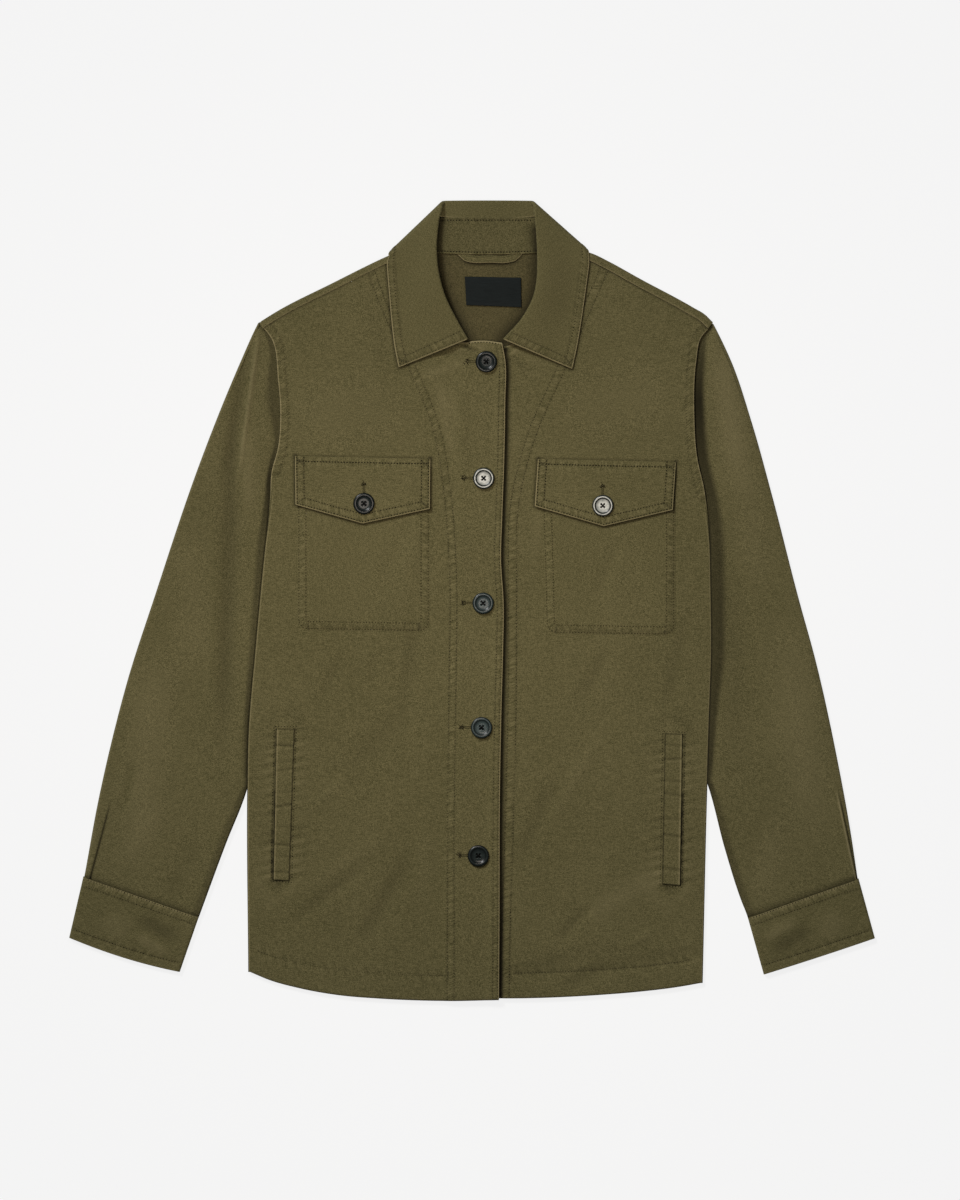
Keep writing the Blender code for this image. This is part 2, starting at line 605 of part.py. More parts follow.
def add_sleeve(side):
    """One sleeve: floor side, outer fold and upper side, sewn together along the underarm."""
    outer = outline(SLEEVE_OUTER_POINTS[side])(SLEEVE_ROWS)
    inner = sleeve_inner_edge(side)(SLEEVE_ROWS)
    width = np.linalg.norm(inner - outer, axis=1)
    way = (inner - outer) / width[:, None]
    narrow = np.minimum(width / SLEEVE_NARROW, 1.0)
    curl = side_curl(side, inner[:, 1])
    seam_reach = edge_roll(ROLL_STEPS[-1], curl)[0] * narrow
    fold = np.minimum(FOLD_RADIUS, SLEEVE_FOLD_SHARE * width)

    def column(inset, height):
        return np.column_stack((outer + way * inset[:, None], np.broadcast_to(height, width.shape)))

    flat_width = width - fold - seam_reach
    strips = [edge_roll(distance, curl) for distance in ROLL_STEPS]
    floor = [column(width - seam_reach + reach * narrow, rise) for reach, rise in strips[::-1]]
    floor += [column(fold + flat_width * share, 0.0) for share in FLOOR_COLUMNS]
    turn = [column(fold * (1 - np.cos(angle)), FOLD_RADIUS * (1 + np.sin(angle))) for angle in EDGE_TURNS]
    upper = []
    for share in SLEEVE_COLUMNS:
        flat = column(fold + flat_width * share, FRONT_HEIGHT)
        x, y = flat[:, 0], flat[:, 1]
        fade = ease(flat_width * share / PLEAT_EDGE) * ease(flat_width * (1 - share) / SLEEVE_EDGE)
        flat[:, 2] += (soft_folds(x, y, SLEEVE_FOLDS[side]) + pleat_height(side, x, y)) * fade
        upper.append(flat)
    upper += [column(width - seam_reach + reach * narrow, FRONT_HEIGHT - drop) for reach, drop in strips]
    add_sheet(f"sleeve_{side}", np.stack(floor + turn + upper, axis=1), CLOTH, TWILL, faces_up=True)


def add_cuff(side):
    """One cuff: a doubled band pressed flat, with its lower edge bowed."""
    corners = CUFF_CORNERS[side]
    width = np.hypot(corners["x"][0] - corners["x"][1], corners["y"][0] - corners["y"][1])
    share = CUFF_ROLL / width
    turned = share * (1 - np.cos(EDGE_TURNS))
    flat = mix(share, 1 - share, CUFF_COLUMNS)
    across = np.concatenate((flat[::-1], turned, flat, 1 - turned[::-1], flat[-1:]))
    rise = CUFF_ROLL * (1 + np.sin(EDGE_TURNS))
    level = np.concatenate((0 * flat, rise, 0 * flat + 2 * CUFF_ROLL, rise[::-1], flat[-1:] * 0))
    down, across = np.meshgrid(CUFF_ROWS, across, indexing="ij")
    xy = four_corners(corners, down, across)
    xy[..., 1] -= CUFF_BOW[side] * 4.0 * across * (1.0 - across) * down ** 2
    points = np.dstack((xy, np.broadcast_to(level, across.shape)))
    add_sheet(f"cuff_{side}", points, DOUBLE, TWILL, faces_up=True, tube=True)


def crease_frame(side):
    """Crease of the collar at one shoulder: centres of its turn at roll and edge, the way out and along."""
    roll_corner, edge_corner = np.stack((CREASE[side]["x"], CREASE[side]["y"]), axis=1)
    run = roll_corner - edge_corner
    out = np.array((-run[1], run[0])) / np.linalg.norm(run)
    out *= np.sign(out[1])
    edge_top = FRONT_HEIGHT + LIFT + LEAF_GAP + DOUBLE / 2
    edge_radius = (edge_top - DOUBLE / 2) / 2
    roll_radius = CREASE_RADIUS + LAYER / 2 + DOUBLE / 2
    roll_centre = np.append(roll_corner - out * roll_radius, roll_radius)
    edge_centre = np.append(edge_corner - out * (edge_radius + DOUBLE / 2), edge_radius + DOUBLE / 2)
    along = np.append(run / np.linalg.norm(run), 0.0)
    return roll_centre, edge_centre, edge_radius, np.append(out, 0.0), along


def collar_sections():
    """Sections right round the fall: middle of the roll, edge, facing, and the flap's run and sink."""
    up = np.array((0.0, 0.0, 1.0))
    sections = []
    for side in ("right", "left"):
        rows = LEAF_ROWS[side]
        steps = np.linspace(0, len(rows["roll_x"]) - 1, LEAF_SECTIONS)
        place = {name: smooth(np.arange(len(values)), values)(steps) for name, values in rows.items()}
        middle = np.column_stack((place["roll_x"], place["roll_y"], place["roll_z"]))
        edge_z = front_top(side, place["edge_x"], place["edge_y"]) + LEAF_GAP + DOUBLE / 2
        edge = np.column_stack((place["edge_x"], place["edge_y"], edge_z))
        half = [(middle[i], edge[i], up, place["flap"][i], place["sink"][i]) for i in range(len(steps))]
        roll_centre, edge_centre, edge_radius, out, along = crease_frame(side)
        for turn in CREASE_TURNS:
            facing = np.cos(turn) * out + np.sin(turn) * up
            slant = along * CREASE_SLANT * max(np.sin(turn), 0.0)
            middle = roll_centre + CREASE_RADIUS * facing - slant
            edge = edge_centre + edge_radius * facing - slant
            half.append((middle, edge, facing, CREASE_FLAP, 0.0))
        if side == "right":
            sections += half + back_sections()
        else:
            sections += half[::-1]
    return sections


def back_sections():
    """Sections of the fall across the back neck, where its outer layer lies under the back on the floor."""
    down = np.array((0.0, 0.0, -1.0))
    roll_y = COLLAR_TOP_Y - (LAYER + DOUBLE) / 2
    flap = roll_y - STAND_TOP_Y - SEAM
    sections = []
    for roll_x, edge_x in zip(BACK_ROLL_X, BACK_FALL_EDGE_X):
        middle = np.array((roll_x, roll_y, (LAYER + DOUBLE) / 2))
        edge = np.array((edge_x, fall_edge_y(edge_x), DOUBLE / 2))
        sections.append((middle, edge, down, flap, 0.0))
    return sections


def section_points(middle, edge, facing, flap, sink):
    """Inner flap of the fall, the turn over the roll, and the outer layer down to its edge."""
    away = middle - edge
    away -= facing * (away @ facing)
    away /= np.linalg.norm(away)
    inner_roll = middle - facing * LAYER / 2
    outer_roll = middle + facing * LAYER / 2
    flap_end = inner_roll - away * flap - (0.0, 0.0, sink)
    inner = mix(flap_end, inner_roll, FLAP_SHARES[:, None])
    turn = ROLL_TURNS[:, None]
    fold = middle + LAYER / 2 * (np.sin(turn) * away - np.cos(turn) * facing)
    outer = mix(outer_roll, edge, FALL_SHARES[:, None])
    outer[:, 2] = mix(outer_roll[2], edge[2], ease(FALL_SHARES / FALL_SETTLES))
    return np.concatenate((inner, fold, outer))


def add_collar():
    """Collar fall right round the neck, and the stand that shows inside the back neck."""
    fall = np.stack([section_points(*section) for section in collar_sections()])
    add_sheet("collar_fall", fall, DOUBLE, TWILL)
    seam = np.column_stack((STAND_SEAM_X, BACK_TOP(STAND_SEAM_X) + STAND_GAP))
    top = np.column_stack((STAND_TOP_X, np.full(len(STAND_TOP_X), STAND_TOP_Y)))
    xy = mix(seam[None], top[None], np.linspace(0, 1, 4)[:, None, None])
    level = np.full(xy.shape[:2], DOUBLE / 2 + LAYER)
    add_sheet("collar_stand", np.dstack((xy, level)), DOUBLE, TWILL)


def four_corners(corners, down, across):
    """Point of a four-cornered patch by its shares down and across."""
    first, second, third, fourth = np.stack((corners["x"], corners["y"]), axis=1)
    top = mix(first, second, across[..., None])
    low = mix(fourth, third, across[..., None])
    return mix(top, low, down[..., None])


def add_pocket(side):
    """Patch pocket with rounded lower corners, laid on its front."""
    corners = POCKET_CORNERS[side]
    height = corners["y"][0] - corners["y"][3]
    width = corners["x"][1] - corners["x"][0]
    corner_rows = 1 - POCKET_CORNER_RADIUS * (1 - np.sin(POCKET_CORNER_TURN)) / height
    straight_rows = np.linspace(0, corner_rows[0], POCKET_STRAIGHT_ROWS, endpoint=False)
    rows = np.concatenate((straight_rows, corner_rows))
    corner_inset = POCKET_CORNER_RADIUS * (1 - np.cos(POCKET_CORNER_TURN)) / width
    inset = np.concatenate((0 * straight_rows, corner_inset))
    across = inset[:, None] + (1 - 2 * inset[:, None]) * POCKET_COLUMNS[None]
    xy = four_corners(corners, np.broadcast_to(rows[:, None], across.shape), across)
    x, y = xy[..., 0], xy[..., 1]
    points = np.dstack((x, y, front_top(side, x, y) + SEAM + CLOTH))
    add_sheet(f"chest_pocket_{side}", points, CLOTH, TWILL, faces_up=True)


def flap_top(side, x, y, top_y):
    """Height of a flap's outer face: sewn to the front along its top, lying on the pocket below."""
    over_pocket = (CLOTH + SEAM) * ease((top_y - y) / FLAP_RAMP)
    return front_top(side, x, y) + SEAM + over_pocket + CLOTH


def add_flap(side):
    """Pocket flap whose lower edge comes to a point in the middle."""
    corners = FLAP_CORNERS[side]
    down, across = np.meshgrid(POCKET_FLAP_ROWS, POCKET_FLAP_COLUMNS, indexing="ij")
    xy = four_corners(corners, down, across)
    low_middle_y = (corners["y"][2] + corners["y"][3]) / 2
    peak = 1 - np.abs(2 * across - 1)
    xy[..., 1] += down * peak * (FLAP_POINT_Y[side] - low_middle_y)
    top_y = mix(corners["y"][0], corners["y"][1], across)
    points = np.dstack((xy, flap_top(side, xy[..., 0], xy[..., 1], top_y)))
    add_sheet(f"pocket_flap_{side}", points, CLOTH, TWILL, faces_up=True)


def add_welt(side):
    """Upright welt of a hand pocket, laid on its front."""
    down, across = np.meshgrid(WELT_ROWS, WELT_COLUMNS, indexing="ij")
    xy = four_corners(WELT_CORNERS[side], down, across)
    points = np.dstack((xy, front_top(side, xy[..., 0], xy[..., 1]) + SEAM + CLOTH))
    add_sheet(f"welt_{side}", points, CLOTH, TWILL, faces_up=True)


def add_button(name, x, y, z, finish):
    """Turned button: a dished middle inside a round rim."""
    places = [(radius * MM, 0.0, height * MM) for radius, height in zip(*BUTTON_PROFILE.values())]
    mesh = bpy.data.meshes.new(name)
    mesh.from_pydata(places, [(i, i + 1) for i in range(len(places) - 1)], [])
    button = add_object(name, mesh, finish)
    button.location = (x * MM, y * MM, z * MM)
    turned = button.modifiers.new("Turned", "SCREW")
    turned.axis = "Z"
    turned.steps = BUTTON_SIDES
    turned.render_steps = BUTTON_SIDES
    turned.use_merge_vertices = True
    turned.merge_threshold = 0.00001
    turned.use_smooth_shade = True


def button_seat(height_at, x, y):
    """Level on which a button lies: the highest cloth under it, and a seam's gap."""
    turn = np.linspace(0, 2 * np.pi, 16)
    reach = np.array((0.0, 0.5, 1.0))[:, None] * BUTTON_RADIUS
    return float(np.max(height_at(x + reach * np.cos(turn), y + reach * np.sin(turn)))) + SEAM


def add_buttons():
    """Five buttons down the front and one on each flap."""
    finishes = (DARK_BUTTON, PALE_BUTTON, GREY_BUTTON, GREY_BUTTON, DARK_BUTTON)
    for number, (x, y, finish) in enumerate(zip(FRONT_BUTTON_X, FRONT_BUTTON_Y, finishes), start=1):
        level = button_seat(lambda px, py: front_top("right", px, py), x, y)
        add_button(f"button_front_{number}", x, y, level, finish)
    for side, finish in (("right", DARK_BUTTON), ("left", PALE_BUTTON)):
        x, y = FLAP_BUTTON[side]
        top_y = FLAP_CORNERS[side]["y"][0]
        level = button_seat(lambda px, py: flap_top(side, px, py, top_y), x, y)
        add_button(f"button_flap_{side}", x, y, level, finish)


def add_neck_trims():
    """Blank label and hanger loop inside the back neck."""
    down, across = np.meshgrid(np.linspace(0, 1, 5), np.linspace(0, 1, 7), indexing="ij")
    xy = four_corners(LABEL_CORNERS, down, across)
    points = np.dstack((xy, back_inside(xy[..., 0], xy[..., 1]) + SEAM + LABEL_WALL))
    add_sheet("neck_label", points, LABEL_WALL, SATIN_LABEL, faces_up=True)

    along = np.linspace(0, 1, 17)
    middle = outline(LOOP_PATH)(along)
    across_way = normals(outline(LOOP_PATH), along, (0.0, 1.0))
    sides = np.array((-0.5, 0.0, 0.5)) * LOOP_WIDTH
    xy = middle[:, None] + across_way[:, None] * sides[None, :, None]
    bow = LOOP_RISE * np.sin(np.pi * along)[:, None]
    height = back_inside(xy[..., 0], xy[..., 1]) + SEAM + CLOTH + bow
    add_sheet("hanger_loop", np.dstack((xy, height)), CLOTH, TWILL, faces_up=True)


def build():
    """Clears the scene and makes the whole jacket."""
    for old in list(bpy.data.objects):
        bpy.data.objects.remove(old, do_unlink=True)
    jacket = bpy.data.collections.new("overshirt_jacket")
    bpy.context.scene.collection.children.link(jacket)
    add_back()
    for side in SIDE_SIGN:
        add_front(side)
        add_sleeve(side)
        add_cuff(side)
        add_pocket(side)
        add_flap(side)
        add_welt(side)
    add_collar()
    add_buttons()
    add_neck_trims()


build()
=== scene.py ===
# %% [markdown]
# # A button-front overshirt jacket, laid flat
# The jacket is cotton twill, washed until its seams pucker and its folded edges go pale. It lies on its
# back and is seen from straight above. The solids that carry it are already packed as a frame. Here each
# panel becomes a thin shell on the same form, with the creases, stitching, buttonholes and buttons on it.
# Sizes are in millimetres until a mesh is made, and right and left are the wearer's.

# %% Load the frame
from functools import partial

import bpy
import numpy as np
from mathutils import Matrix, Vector


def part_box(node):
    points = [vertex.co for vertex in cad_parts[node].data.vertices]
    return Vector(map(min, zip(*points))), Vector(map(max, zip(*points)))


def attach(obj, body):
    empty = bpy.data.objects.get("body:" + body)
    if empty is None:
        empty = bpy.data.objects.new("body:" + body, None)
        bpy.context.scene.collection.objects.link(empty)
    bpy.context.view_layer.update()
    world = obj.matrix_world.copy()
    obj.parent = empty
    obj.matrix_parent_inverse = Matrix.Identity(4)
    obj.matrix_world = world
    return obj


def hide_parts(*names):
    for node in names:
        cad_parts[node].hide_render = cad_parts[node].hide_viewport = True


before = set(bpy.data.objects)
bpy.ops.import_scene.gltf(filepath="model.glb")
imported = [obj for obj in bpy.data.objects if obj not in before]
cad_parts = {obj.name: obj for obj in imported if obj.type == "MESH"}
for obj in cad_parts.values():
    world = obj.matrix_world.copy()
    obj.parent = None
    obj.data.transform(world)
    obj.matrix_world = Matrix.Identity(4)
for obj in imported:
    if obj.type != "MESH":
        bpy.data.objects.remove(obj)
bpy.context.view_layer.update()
MM = 0.001
SIDES = ("right", "left")
SIDE_SIGN = {"right": -1.0, "left": 1.0}
UP = np.array((0.0, 0.0, 1.0))
print("solids to dress:", len(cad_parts))

# %% [markdown]
# ## Curves and easing
# A pattern cutter draws a panel with a few points and a bent ruler. The same is done here: a short table
# of points, and a smooth curve through them. A spline object would do too, but a function of numpy arrays
# can be asked for thousands of places at once, and for its direction.

# %% Curves through short tables


def table(columns, *rows):
    """Rows of numbers as one array for each named column."""
    return {name: np.array(values, float) for name, values in zip(columns.split(), zip(*rows))}


def both(columns, right, left):
    """One table for each side of the jacket."""
    return {"right": table(columns, *right), "left": table(columns, *left)}


def points_of(rows):
    """The x and y columns of a table as points."""
    return np.column_stack((rows["x"], rows["y"]))


def ease(share):
    """Smooth step from 0 to 1: three times the square less twice the cube."""
    share = np.clip(share, 0.0, 1.0)
    return share * share * (3.0 - 2.0 * share)


def mix(first, second, share):
    """Straight blend from the first value to the second."""
    return first + (second - first) * share


def bell(distance, width):
    """Bell curve: 1 in the middle, about a third at the width."""
    return np.exp(-((distance / width) ** 2))


def smooth(knots, values):
    """Cubic through the values at the knots, with each slope taken from the neighbours."""
    knots = np.asarray(knots, float)
    values = np.asarray(values, float)
    slopes = np.gradient(values, knots, axis=0)

    def at(place):
        place = np.clip(np.asarray(place, float), knots[0], knots[-1])
        low = np.clip(np.searchsorted(knots, place, side="right") - 1, 0, len(knots) - 2)
        shape = place.shape + (1,) * (values.ndim - 1)
        span = (knots[low + 1] - knots[low]).reshape(shape)
        part = (place - knots[low]).reshape(shape) / span
        rest = 1.0 - part
        return (
            rest ** 2 * (1.0 + 2.0 * part) * values[low]
            + part * rest ** 2 * span * slopes[low]
            + part ** 2 * (3.0 - 2.0 * part) * values[low + 1]
            - part ** 2 * rest * span * slopes[low + 1]
        )

    return at


def passed_along(line):
    """Length passed at each point of a line of points."""
    steps = np.linalg.norm(np.diff(line, axis=0), axis=1)
    return np.concatenate(([0.0], np.cumsum(steps)))


def outline(rows):
    """Smooth curve through a table's points, as a function of the share of its length."""
    points = points_of(rows)
    passed = passed_along(points)
    return smooth(passed / passed[-1], points)


def outlines(right, left):
    """One outline for each side of the jacket."""
    return {side: outline(rows) for side, rows in both("x y", right, left).items()}


def unit(vectors):
    """The directions of some vectors, each one long."""
    return vectors / np.linalg.norm(vectors, axis=-1, keepdims=True)


def normals(curve, share, towards):
    """Unit normals of a curve, on the side that the direction points to."""
    step = 0.002
    run = curve(np.clip(share + step, 0, 1)) - curve(np.clip(share - step, 0, 1))
    normal = unit(np.stack((-run[..., 1], run[..., 0]), axis=-1))
    return normal * np.sign(normal @ np.array(towards))[..., None]


def moved_line(line, distance):
    """A line of points moved to its left by a distance, square to its own run."""
    run = unit(np.gradient(line, axis=0))
    return line + distance * np.column_stack((-run[:, 1], run[:, 0]))


def sampled(curve, start=0.0, end=1.0, count=120):
    """Points of a curve between two shares."""
    return curve(np.linspace(start, end, count))


def graded(length, spacing, fine=(0.45, 1.0, 1.7)):
    """Shares from 0 to 1 at an even spacing, with finer steps by both ends for a rounded edge."""
    near = np.array((0.0,) + fine)
    middle = np.linspace(near[-1], length - near[-1], int((length - 2 * near[-1]) / spacing) + 2)
    return np.concatenate((near[:-1], middle, length - near[:-1][::-1])) / length


# %% [markdown]
# ## Camera, light and floor
# The picture was taken from straight above with a long lens, so the camera looks down from five metres and
# its lens is worked out from the height of floor that the frame shows. A broad sun from the upper left
# models the seams, a soft lamp over the chest fades towards the hem and cuffs, and a pale room fills the
# shadows. The floor glows a little, as a light table does, so that it stays even all over.

# %% Camera, light and floor
VIEW_HEIGHT = 1140.0
VIEW_MIDDLE = (7.55, 0.57)
CAMERA_HEIGHT = 5000.0
SENSOR = 36.0
SUN_TILT = np.radians((-38.0, -34.0))
LAMP_PLACE = np.array((-60.0, 80.0, 600.0))
LAMP_TARGET = np.array((-30.0, 50.0, 0.0))
FLOOR_HALF = 4000.0
FLOOR_DROP = 0.4


def put_in_scene(name, data):
    """Object that holds some data, linked to the scene."""
    thing = bpy.data.objects.new(name, data)
    bpy.context.scene.collection.objects.link(thing)
    return thing


camera_data = bpy.data.cameras.new("camera")
camera_data.sensor_fit = "VERTICAL"
camera_data.sensor_height = SENSOR
camera_data.lens = SENSOR * CAMERA_HEIGHT / VIEW_HEIGHT
camera_data.clip_end = 100.0
camera = put_in_scene("camera", camera_data)
camera.location = (VIEW_MIDDLE[0] * MM, VIEW_MIDDLE[1] * MM, CAMERA_HEIGHT * MM)
bpy.context.scene.camera = camera

sun_data = bpy.data.lights.new("window_light", "SUN")
sun_data.energy = 2.03
sun_data.angle = np.radians(12.0)
sun = put_in_scene("window_light", sun_data)
sun.rotation_euler = (*SUN_TILT, 0.0)

lamp_data = bpy.data.lights.new("soft_lamp", "AREA")
lamp_data.energy = 1.8
lamp_data.color = (1.0, 0.86, 0.76)
lamp_data.size = 0.3
lamp = put_in_scene("soft_lamp", lamp_data)
lamp.location = LAMP_PLACE * MM
lamp.rotation_euler = Vector(LAMP_TARGET - LAMP_PLACE).to_track_quat("-Z", "Y").to_euler()

world = bpy.data.worlds.new("pale_room")
bpy.context.scene.world = world
world.use_nodes = True
room = world.node_tree.nodes["Background"]
room.inputs["Color"].default_value = (1.0, 1.0, 1.0, 1.0)
room.inputs["Strength"].default_value = 0.12
bpy.context.scene.view_settings.view_transform = "Standard"

floor_mesh = bpy.data.meshes.new("floor")
floor_corners = np.array(((-1, -1), (1, -1), (1, 1), (-1, 1))) * FLOOR_HALF * MM
floor_places = np.column_stack((floor_corners, np.full(4, -FLOOR_DROP * MM)))
floor_mesh.from_pydata(floor_places.tolist(), [], [(0, 1, 2, 3)])
floor = put_in_scene("floor", floor_mesh)
print("lens:", round(camera_data.lens, 1), "mm")

# %% [markdown]
# ## Finishes
# Washed twill is never one flat colour. Its weft has slubs, the warp streaks a little, whole areas drift
# in tone, and the dye goes first from ridges and folded edges. Each panel carries four attributes:
# `cloth`, its place in the cut cloth so that the weave follows the grain; `wear_and_shade`, above 0 where
# the dye has gone and, on fold crests, for painted light, and below 0 for painted shade in grooves, by
# edges and between parts; `seam`, the place along and across the nearest seam; and `pucker`, how
# strongly that seam gathers the cloth. Image textures would do too, but nodes stay sharp at any distance.

# %% Node helpers


def linear(red, green, blue):
    """Colour as seen, 0 to 255, as the linear colour that a shader takes."""
    shade = np.array((red, green, blue)) / 255.0
    return (*np.where(shade <= 0.04045, shade / 12.92, ((shade + 0.055) / 1.055) ** 2.4), 1.0)


def new_finish(name, settings):
    """A node material with values set on its shader's own sockets; also its tree and shader."""
    material = bpy.data.materials.new(name)
    material.use_nodes = True
    tree = material.node_tree
    shader = tree.nodes["Principled BSDF"]
    for socket, value in settings.items():
        shader.inputs[socket].default_value = value
    return material, tree, shader


def attribute(tree, name):
    """Node that reads one of the mesh's attributes."""
    node = tree.nodes.new("ShaderNodeAttribute")
    node.attribute_name = name
    return node


def stretched_noise(tree, vector, size_x, size_y, detail=2.0):
    """Noise whose spots are as wide and as high as two sizes in millimetres; returns its factor socket."""
    mapping = tree.nodes.new("ShaderNodeMapping")
    mapping.inputs["Scale"].default_value = (1 / (size_x * MM), 1 / (size_y * MM), 1 / (size_x * MM))
    tree.links.new(vector, mapping.inputs["Vector"])
    noise = tree.nodes.new("ShaderNodeTexNoise")
    noise.inputs["Scale"].default_value = 1.0
    noise.inputs["Detail"].default_value = detail
    tree.links.new(mapping.outputs["Vector"], noise.inputs["Vector"])
    return noise.outputs["Fac"]


def calculated(tree, operation, socket, *others):
    """Math node on a socket and on more sockets or numbers; returns its value socket."""
    node = tree.nodes.new("ShaderNodeMath")
    node.operation = operation
    tree.links.new(socket, node.inputs[0])
    for place, other in enumerate(others, start=1):
        if isinstance(other, float):
            node.inputs[place].default_value = other
        else:
            tree.links.new(other, node.inputs[place])
    return node.outputs[0]


def weighted_sum(tree, start, terms):
    """Adds up sockets, each less one half and times its weight, onto a start value."""
    total = start - 0.5 * sum(weight for _, weight in terms)
    for socket, weight in terms:
        total = calculated(tree, "MULTIPLY_ADD", socket, weight, total)
    return total


def ramp(tree, factor, *stops):
    """Colour ramp over (place, colour) stops; returns its colour socket."""
    node = tree.nodes.new("ShaderNodeValToRGB")
    while len(node.color_ramp.elements) < len(stops):
        node.color_ramp.elements.new(1.0)
    for element, (place, colour) in zip(node.color_ramp.elements, stops):
        element.position = place
        element.color = colour
    tree.links.new(factor, node.inputs["Fac"])
    return node.outputs["Color"]


def blend_to(tree, factor, base, colour):
    """Mixes a colour over a base by a factor that is held between 0 and 1."""
    node = tree.nodes.new("ShaderNodeMix")
    node.data_type = "RGBA"
    tree.links.new(factor, node.inputs["Factor"])
    tree.links.new(base, node.inputs["A"])
    node.inputs["B"].default_value = colour
    return node.outputs["Result"]


def bump(tree, shader, height, depth):
    """Raises the surface by a height socket times a depth in millimetres."""
    node = tree.nodes.new("ShaderNodeBump")
    node.inputs["Strength"].default_value = 1.0
    node.inputs["Distance"].default_value = depth * MM
    tree.links.new(height, node.inputs["Height"])
    tree.links.new(node.outputs["Normal"], shader.inputs["Normal"])


# %% Khaki twill, its thread and the label's satin
THREAD_RUN = 3.2
THREAD_WIDTH = 0.42
FLECK = 0.5
DRIFT = (90.0, 130.0)
PUCKER = (1.3, 7.0)
DIAGONALS = 190.0
WORN_AND_LIT_DYE = linear(150, 139, 103)
PAINTED_SHADE_DYE = linear(26, 23, 12)


def twill_finish(name, low, middle, high):
    """Weave noise both ways, slow drifts of tone and puckers along the seams, then worn pale and shaded.

    The puckers are waves along the seam that a point belongs to, as strong as its attribute says; they
    tint the colour as painted light and shade, and bump it. Wear and painted light go towards the pale
    dye, painted shade towards the dark one.
    """
    settings = {"Roughness": 0.95, "Specular IOR Level": 0.12, "Sheen Weight": 0.02}
    material, tree, shader = new_finish(name, settings)
    cloth = attribute(tree, "cloth").outputs["Vector"]
    wear_and_shade = attribute(tree, "wear_and_shade").outputs["Fac"]
    weft = stretched_noise(tree, cloth, THREAD_RUN, THREAD_WIDTH, detail=0.0)
    warp = stretched_noise(tree, cloth, THREAD_WIDTH, THREAD_RUN, detail=0.0)
    fleck = stretched_noise(tree, cloth, FLECK, FLECK, detail=0.0)
    drift = stretched_noise(tree, cloth, *DRIFT)
    ripple = stretched_noise(tree, attribute(tree, "seam").outputs["Vector"], *PUCKER, detail=0.0)
    gathered = attribute(tree, "pucker").outputs["Fac"]
    gathers = calculated(tree, "MULTIPLY", weighted_sum(tree, 0.0, ((ripple, 1.0),)), gathered)
    weave = weighted_sum(tree, 0.5, ((weft, 1.0), (warp, 0.8), (fleck, 2.6), (drift, 0.4)))
    # Painted light and shade of the puckers: their waves lighten and darken the weave's tone.
    tone = calculated(tree, "MULTIPLY_ADD", gathers, 1.7, weave)
    shade = ramp(tree, tone, (0.1, low), (0.5, middle), (0.9, high))
    # Above 0 the attribute pales the cloth for wear and painted light, below 0 it paints shade.
    wear_light_and_shade = blend_to(tree, wear_and_shade, shade, WORN_AND_LIT_DYE)
    painted_shade = blend_to(tree, calculated(tree, "MULTIPLY", wear_and_shade, -1.0), wear_light_and_shade, PAINTED_SHADE_DYE)
    tree.links.new(painted_shade, shader.inputs["Base Color"])
    twill = tree.nodes.new("ShaderNodeTexWave")
    twill.bands_direction = "DIAGONAL"
    twill.inputs["Scale"].default_value = DIAGONALS
    twill.inputs["Distortion"].default_value = 1.5
    tree.links.new(cloth, twill.inputs["Vector"])
    grain = weighted_sum(tree, 0.5, ((twill.outputs["Fac"], 0.3), (weft, 0.2), (warp, 0.2)))
    bump(tree, shader, calculated(tree, "MULTIPLY_ADD", gathers, 5.0, grain), 0.16)
    return material


def thread_finish(name, colour):
    """Spun thread: two close shades along its length and a fine twist."""
    material, tree, shader = new_finish(name, {"Roughness": 0.85, "Specular IOR Level": 0.1})
    place = tree.nodes.new("ShaderNodeTexCoord").outputs["Object"]
    twist = stretched_noise(tree, place, 0.5, 0.5)
    dark = tuple(0.7 * c for c in colour[:3]) + (1.0,)
    pale = tuple(1.3 * c for c in colour[:3]) + (1.0,)
    tree.links.new(ramp(tree, twist, (0.3, dark), (0.7, pale)), shader.inputs["Base Color"])
    bump(tree, shader, twist, 0.05)
    return material


def label_finish():
    """Black woven satin with fine ribs along the label."""
    material, tree, shader = new_finish("black_satin", {"Roughness": 0.7, "Specular IOR Level": 0.15})
    cloth = attribute(tree, "cloth").outputs["Vector"]
    rib = stretched_noise(tree, cloth, 8.0, 0.35)
    shade = ramp(tree, rib, (0.2, linear(11, 17, 17)), (0.8, linear(25, 32, 32)))
    tree.links.new(shade, shader.inputs["Base Color"])
    bump(tree, shader, rib, 0.06)
    return material


def floor_finish():
    """Plain pale studio floor that glows a little."""
    return new_finish("pale_floor", {
        "Roughness": 1.0, "Specular IOR Level": 0.0, "Base Color": (0.1, 0.1, 0.1, 1.0),
        "Emission Color": (1.0, 1.0, 1.0, 1.0), "Emission Strength": 0.842,
    })[0]


KHAKI = twill_finish("khaki_twill", linear(70, 67, 40), linear(90, 85, 55), linear(111, 104, 71))
# The wrong side is a darker twill, which also paints the shade inside the back neck.
KHAKI_WRONG_SIDE_SHADED = twill_finish("khaki_wrong_side_shaded", linear(63, 59, 36), linear(79, 73, 47), linear(95, 87, 58))
# The sewing thread is darkened so that it also paints the shade of its needle holes.
SHADED_SEWING_THREAD = thread_finish("sewing_thread_with_hole_shade", linear(29, 25, 14))
POCKET_THREAD = thread_finish("pocket_thread", linear(58, 52, 32))
DARK_THREAD = thread_finish("buttonhole_thread", linear(36, 32, 17))
CROSS_THREAD = thread_finish("button_thread", linear(7, 7, 6))
SATIN = label_finish()
floor_mesh.materials.append(floor_finish())
print("finishes:", ", ".join(material.name for material in bpy.data.materials))

# %% [markdown]
# ## From a grid of points to a sheet of cloth
# Every panel is a grid of points: rows down, columns across. Faces join neighbours and Solidify gives the
# wall. Solidify could be replaced by a second grid inside, but the modifier also closes the rim.

# %% Sheets of cloth
CLOTH = 1.2
DOUBLE = 1.4
SEAM = 0.3


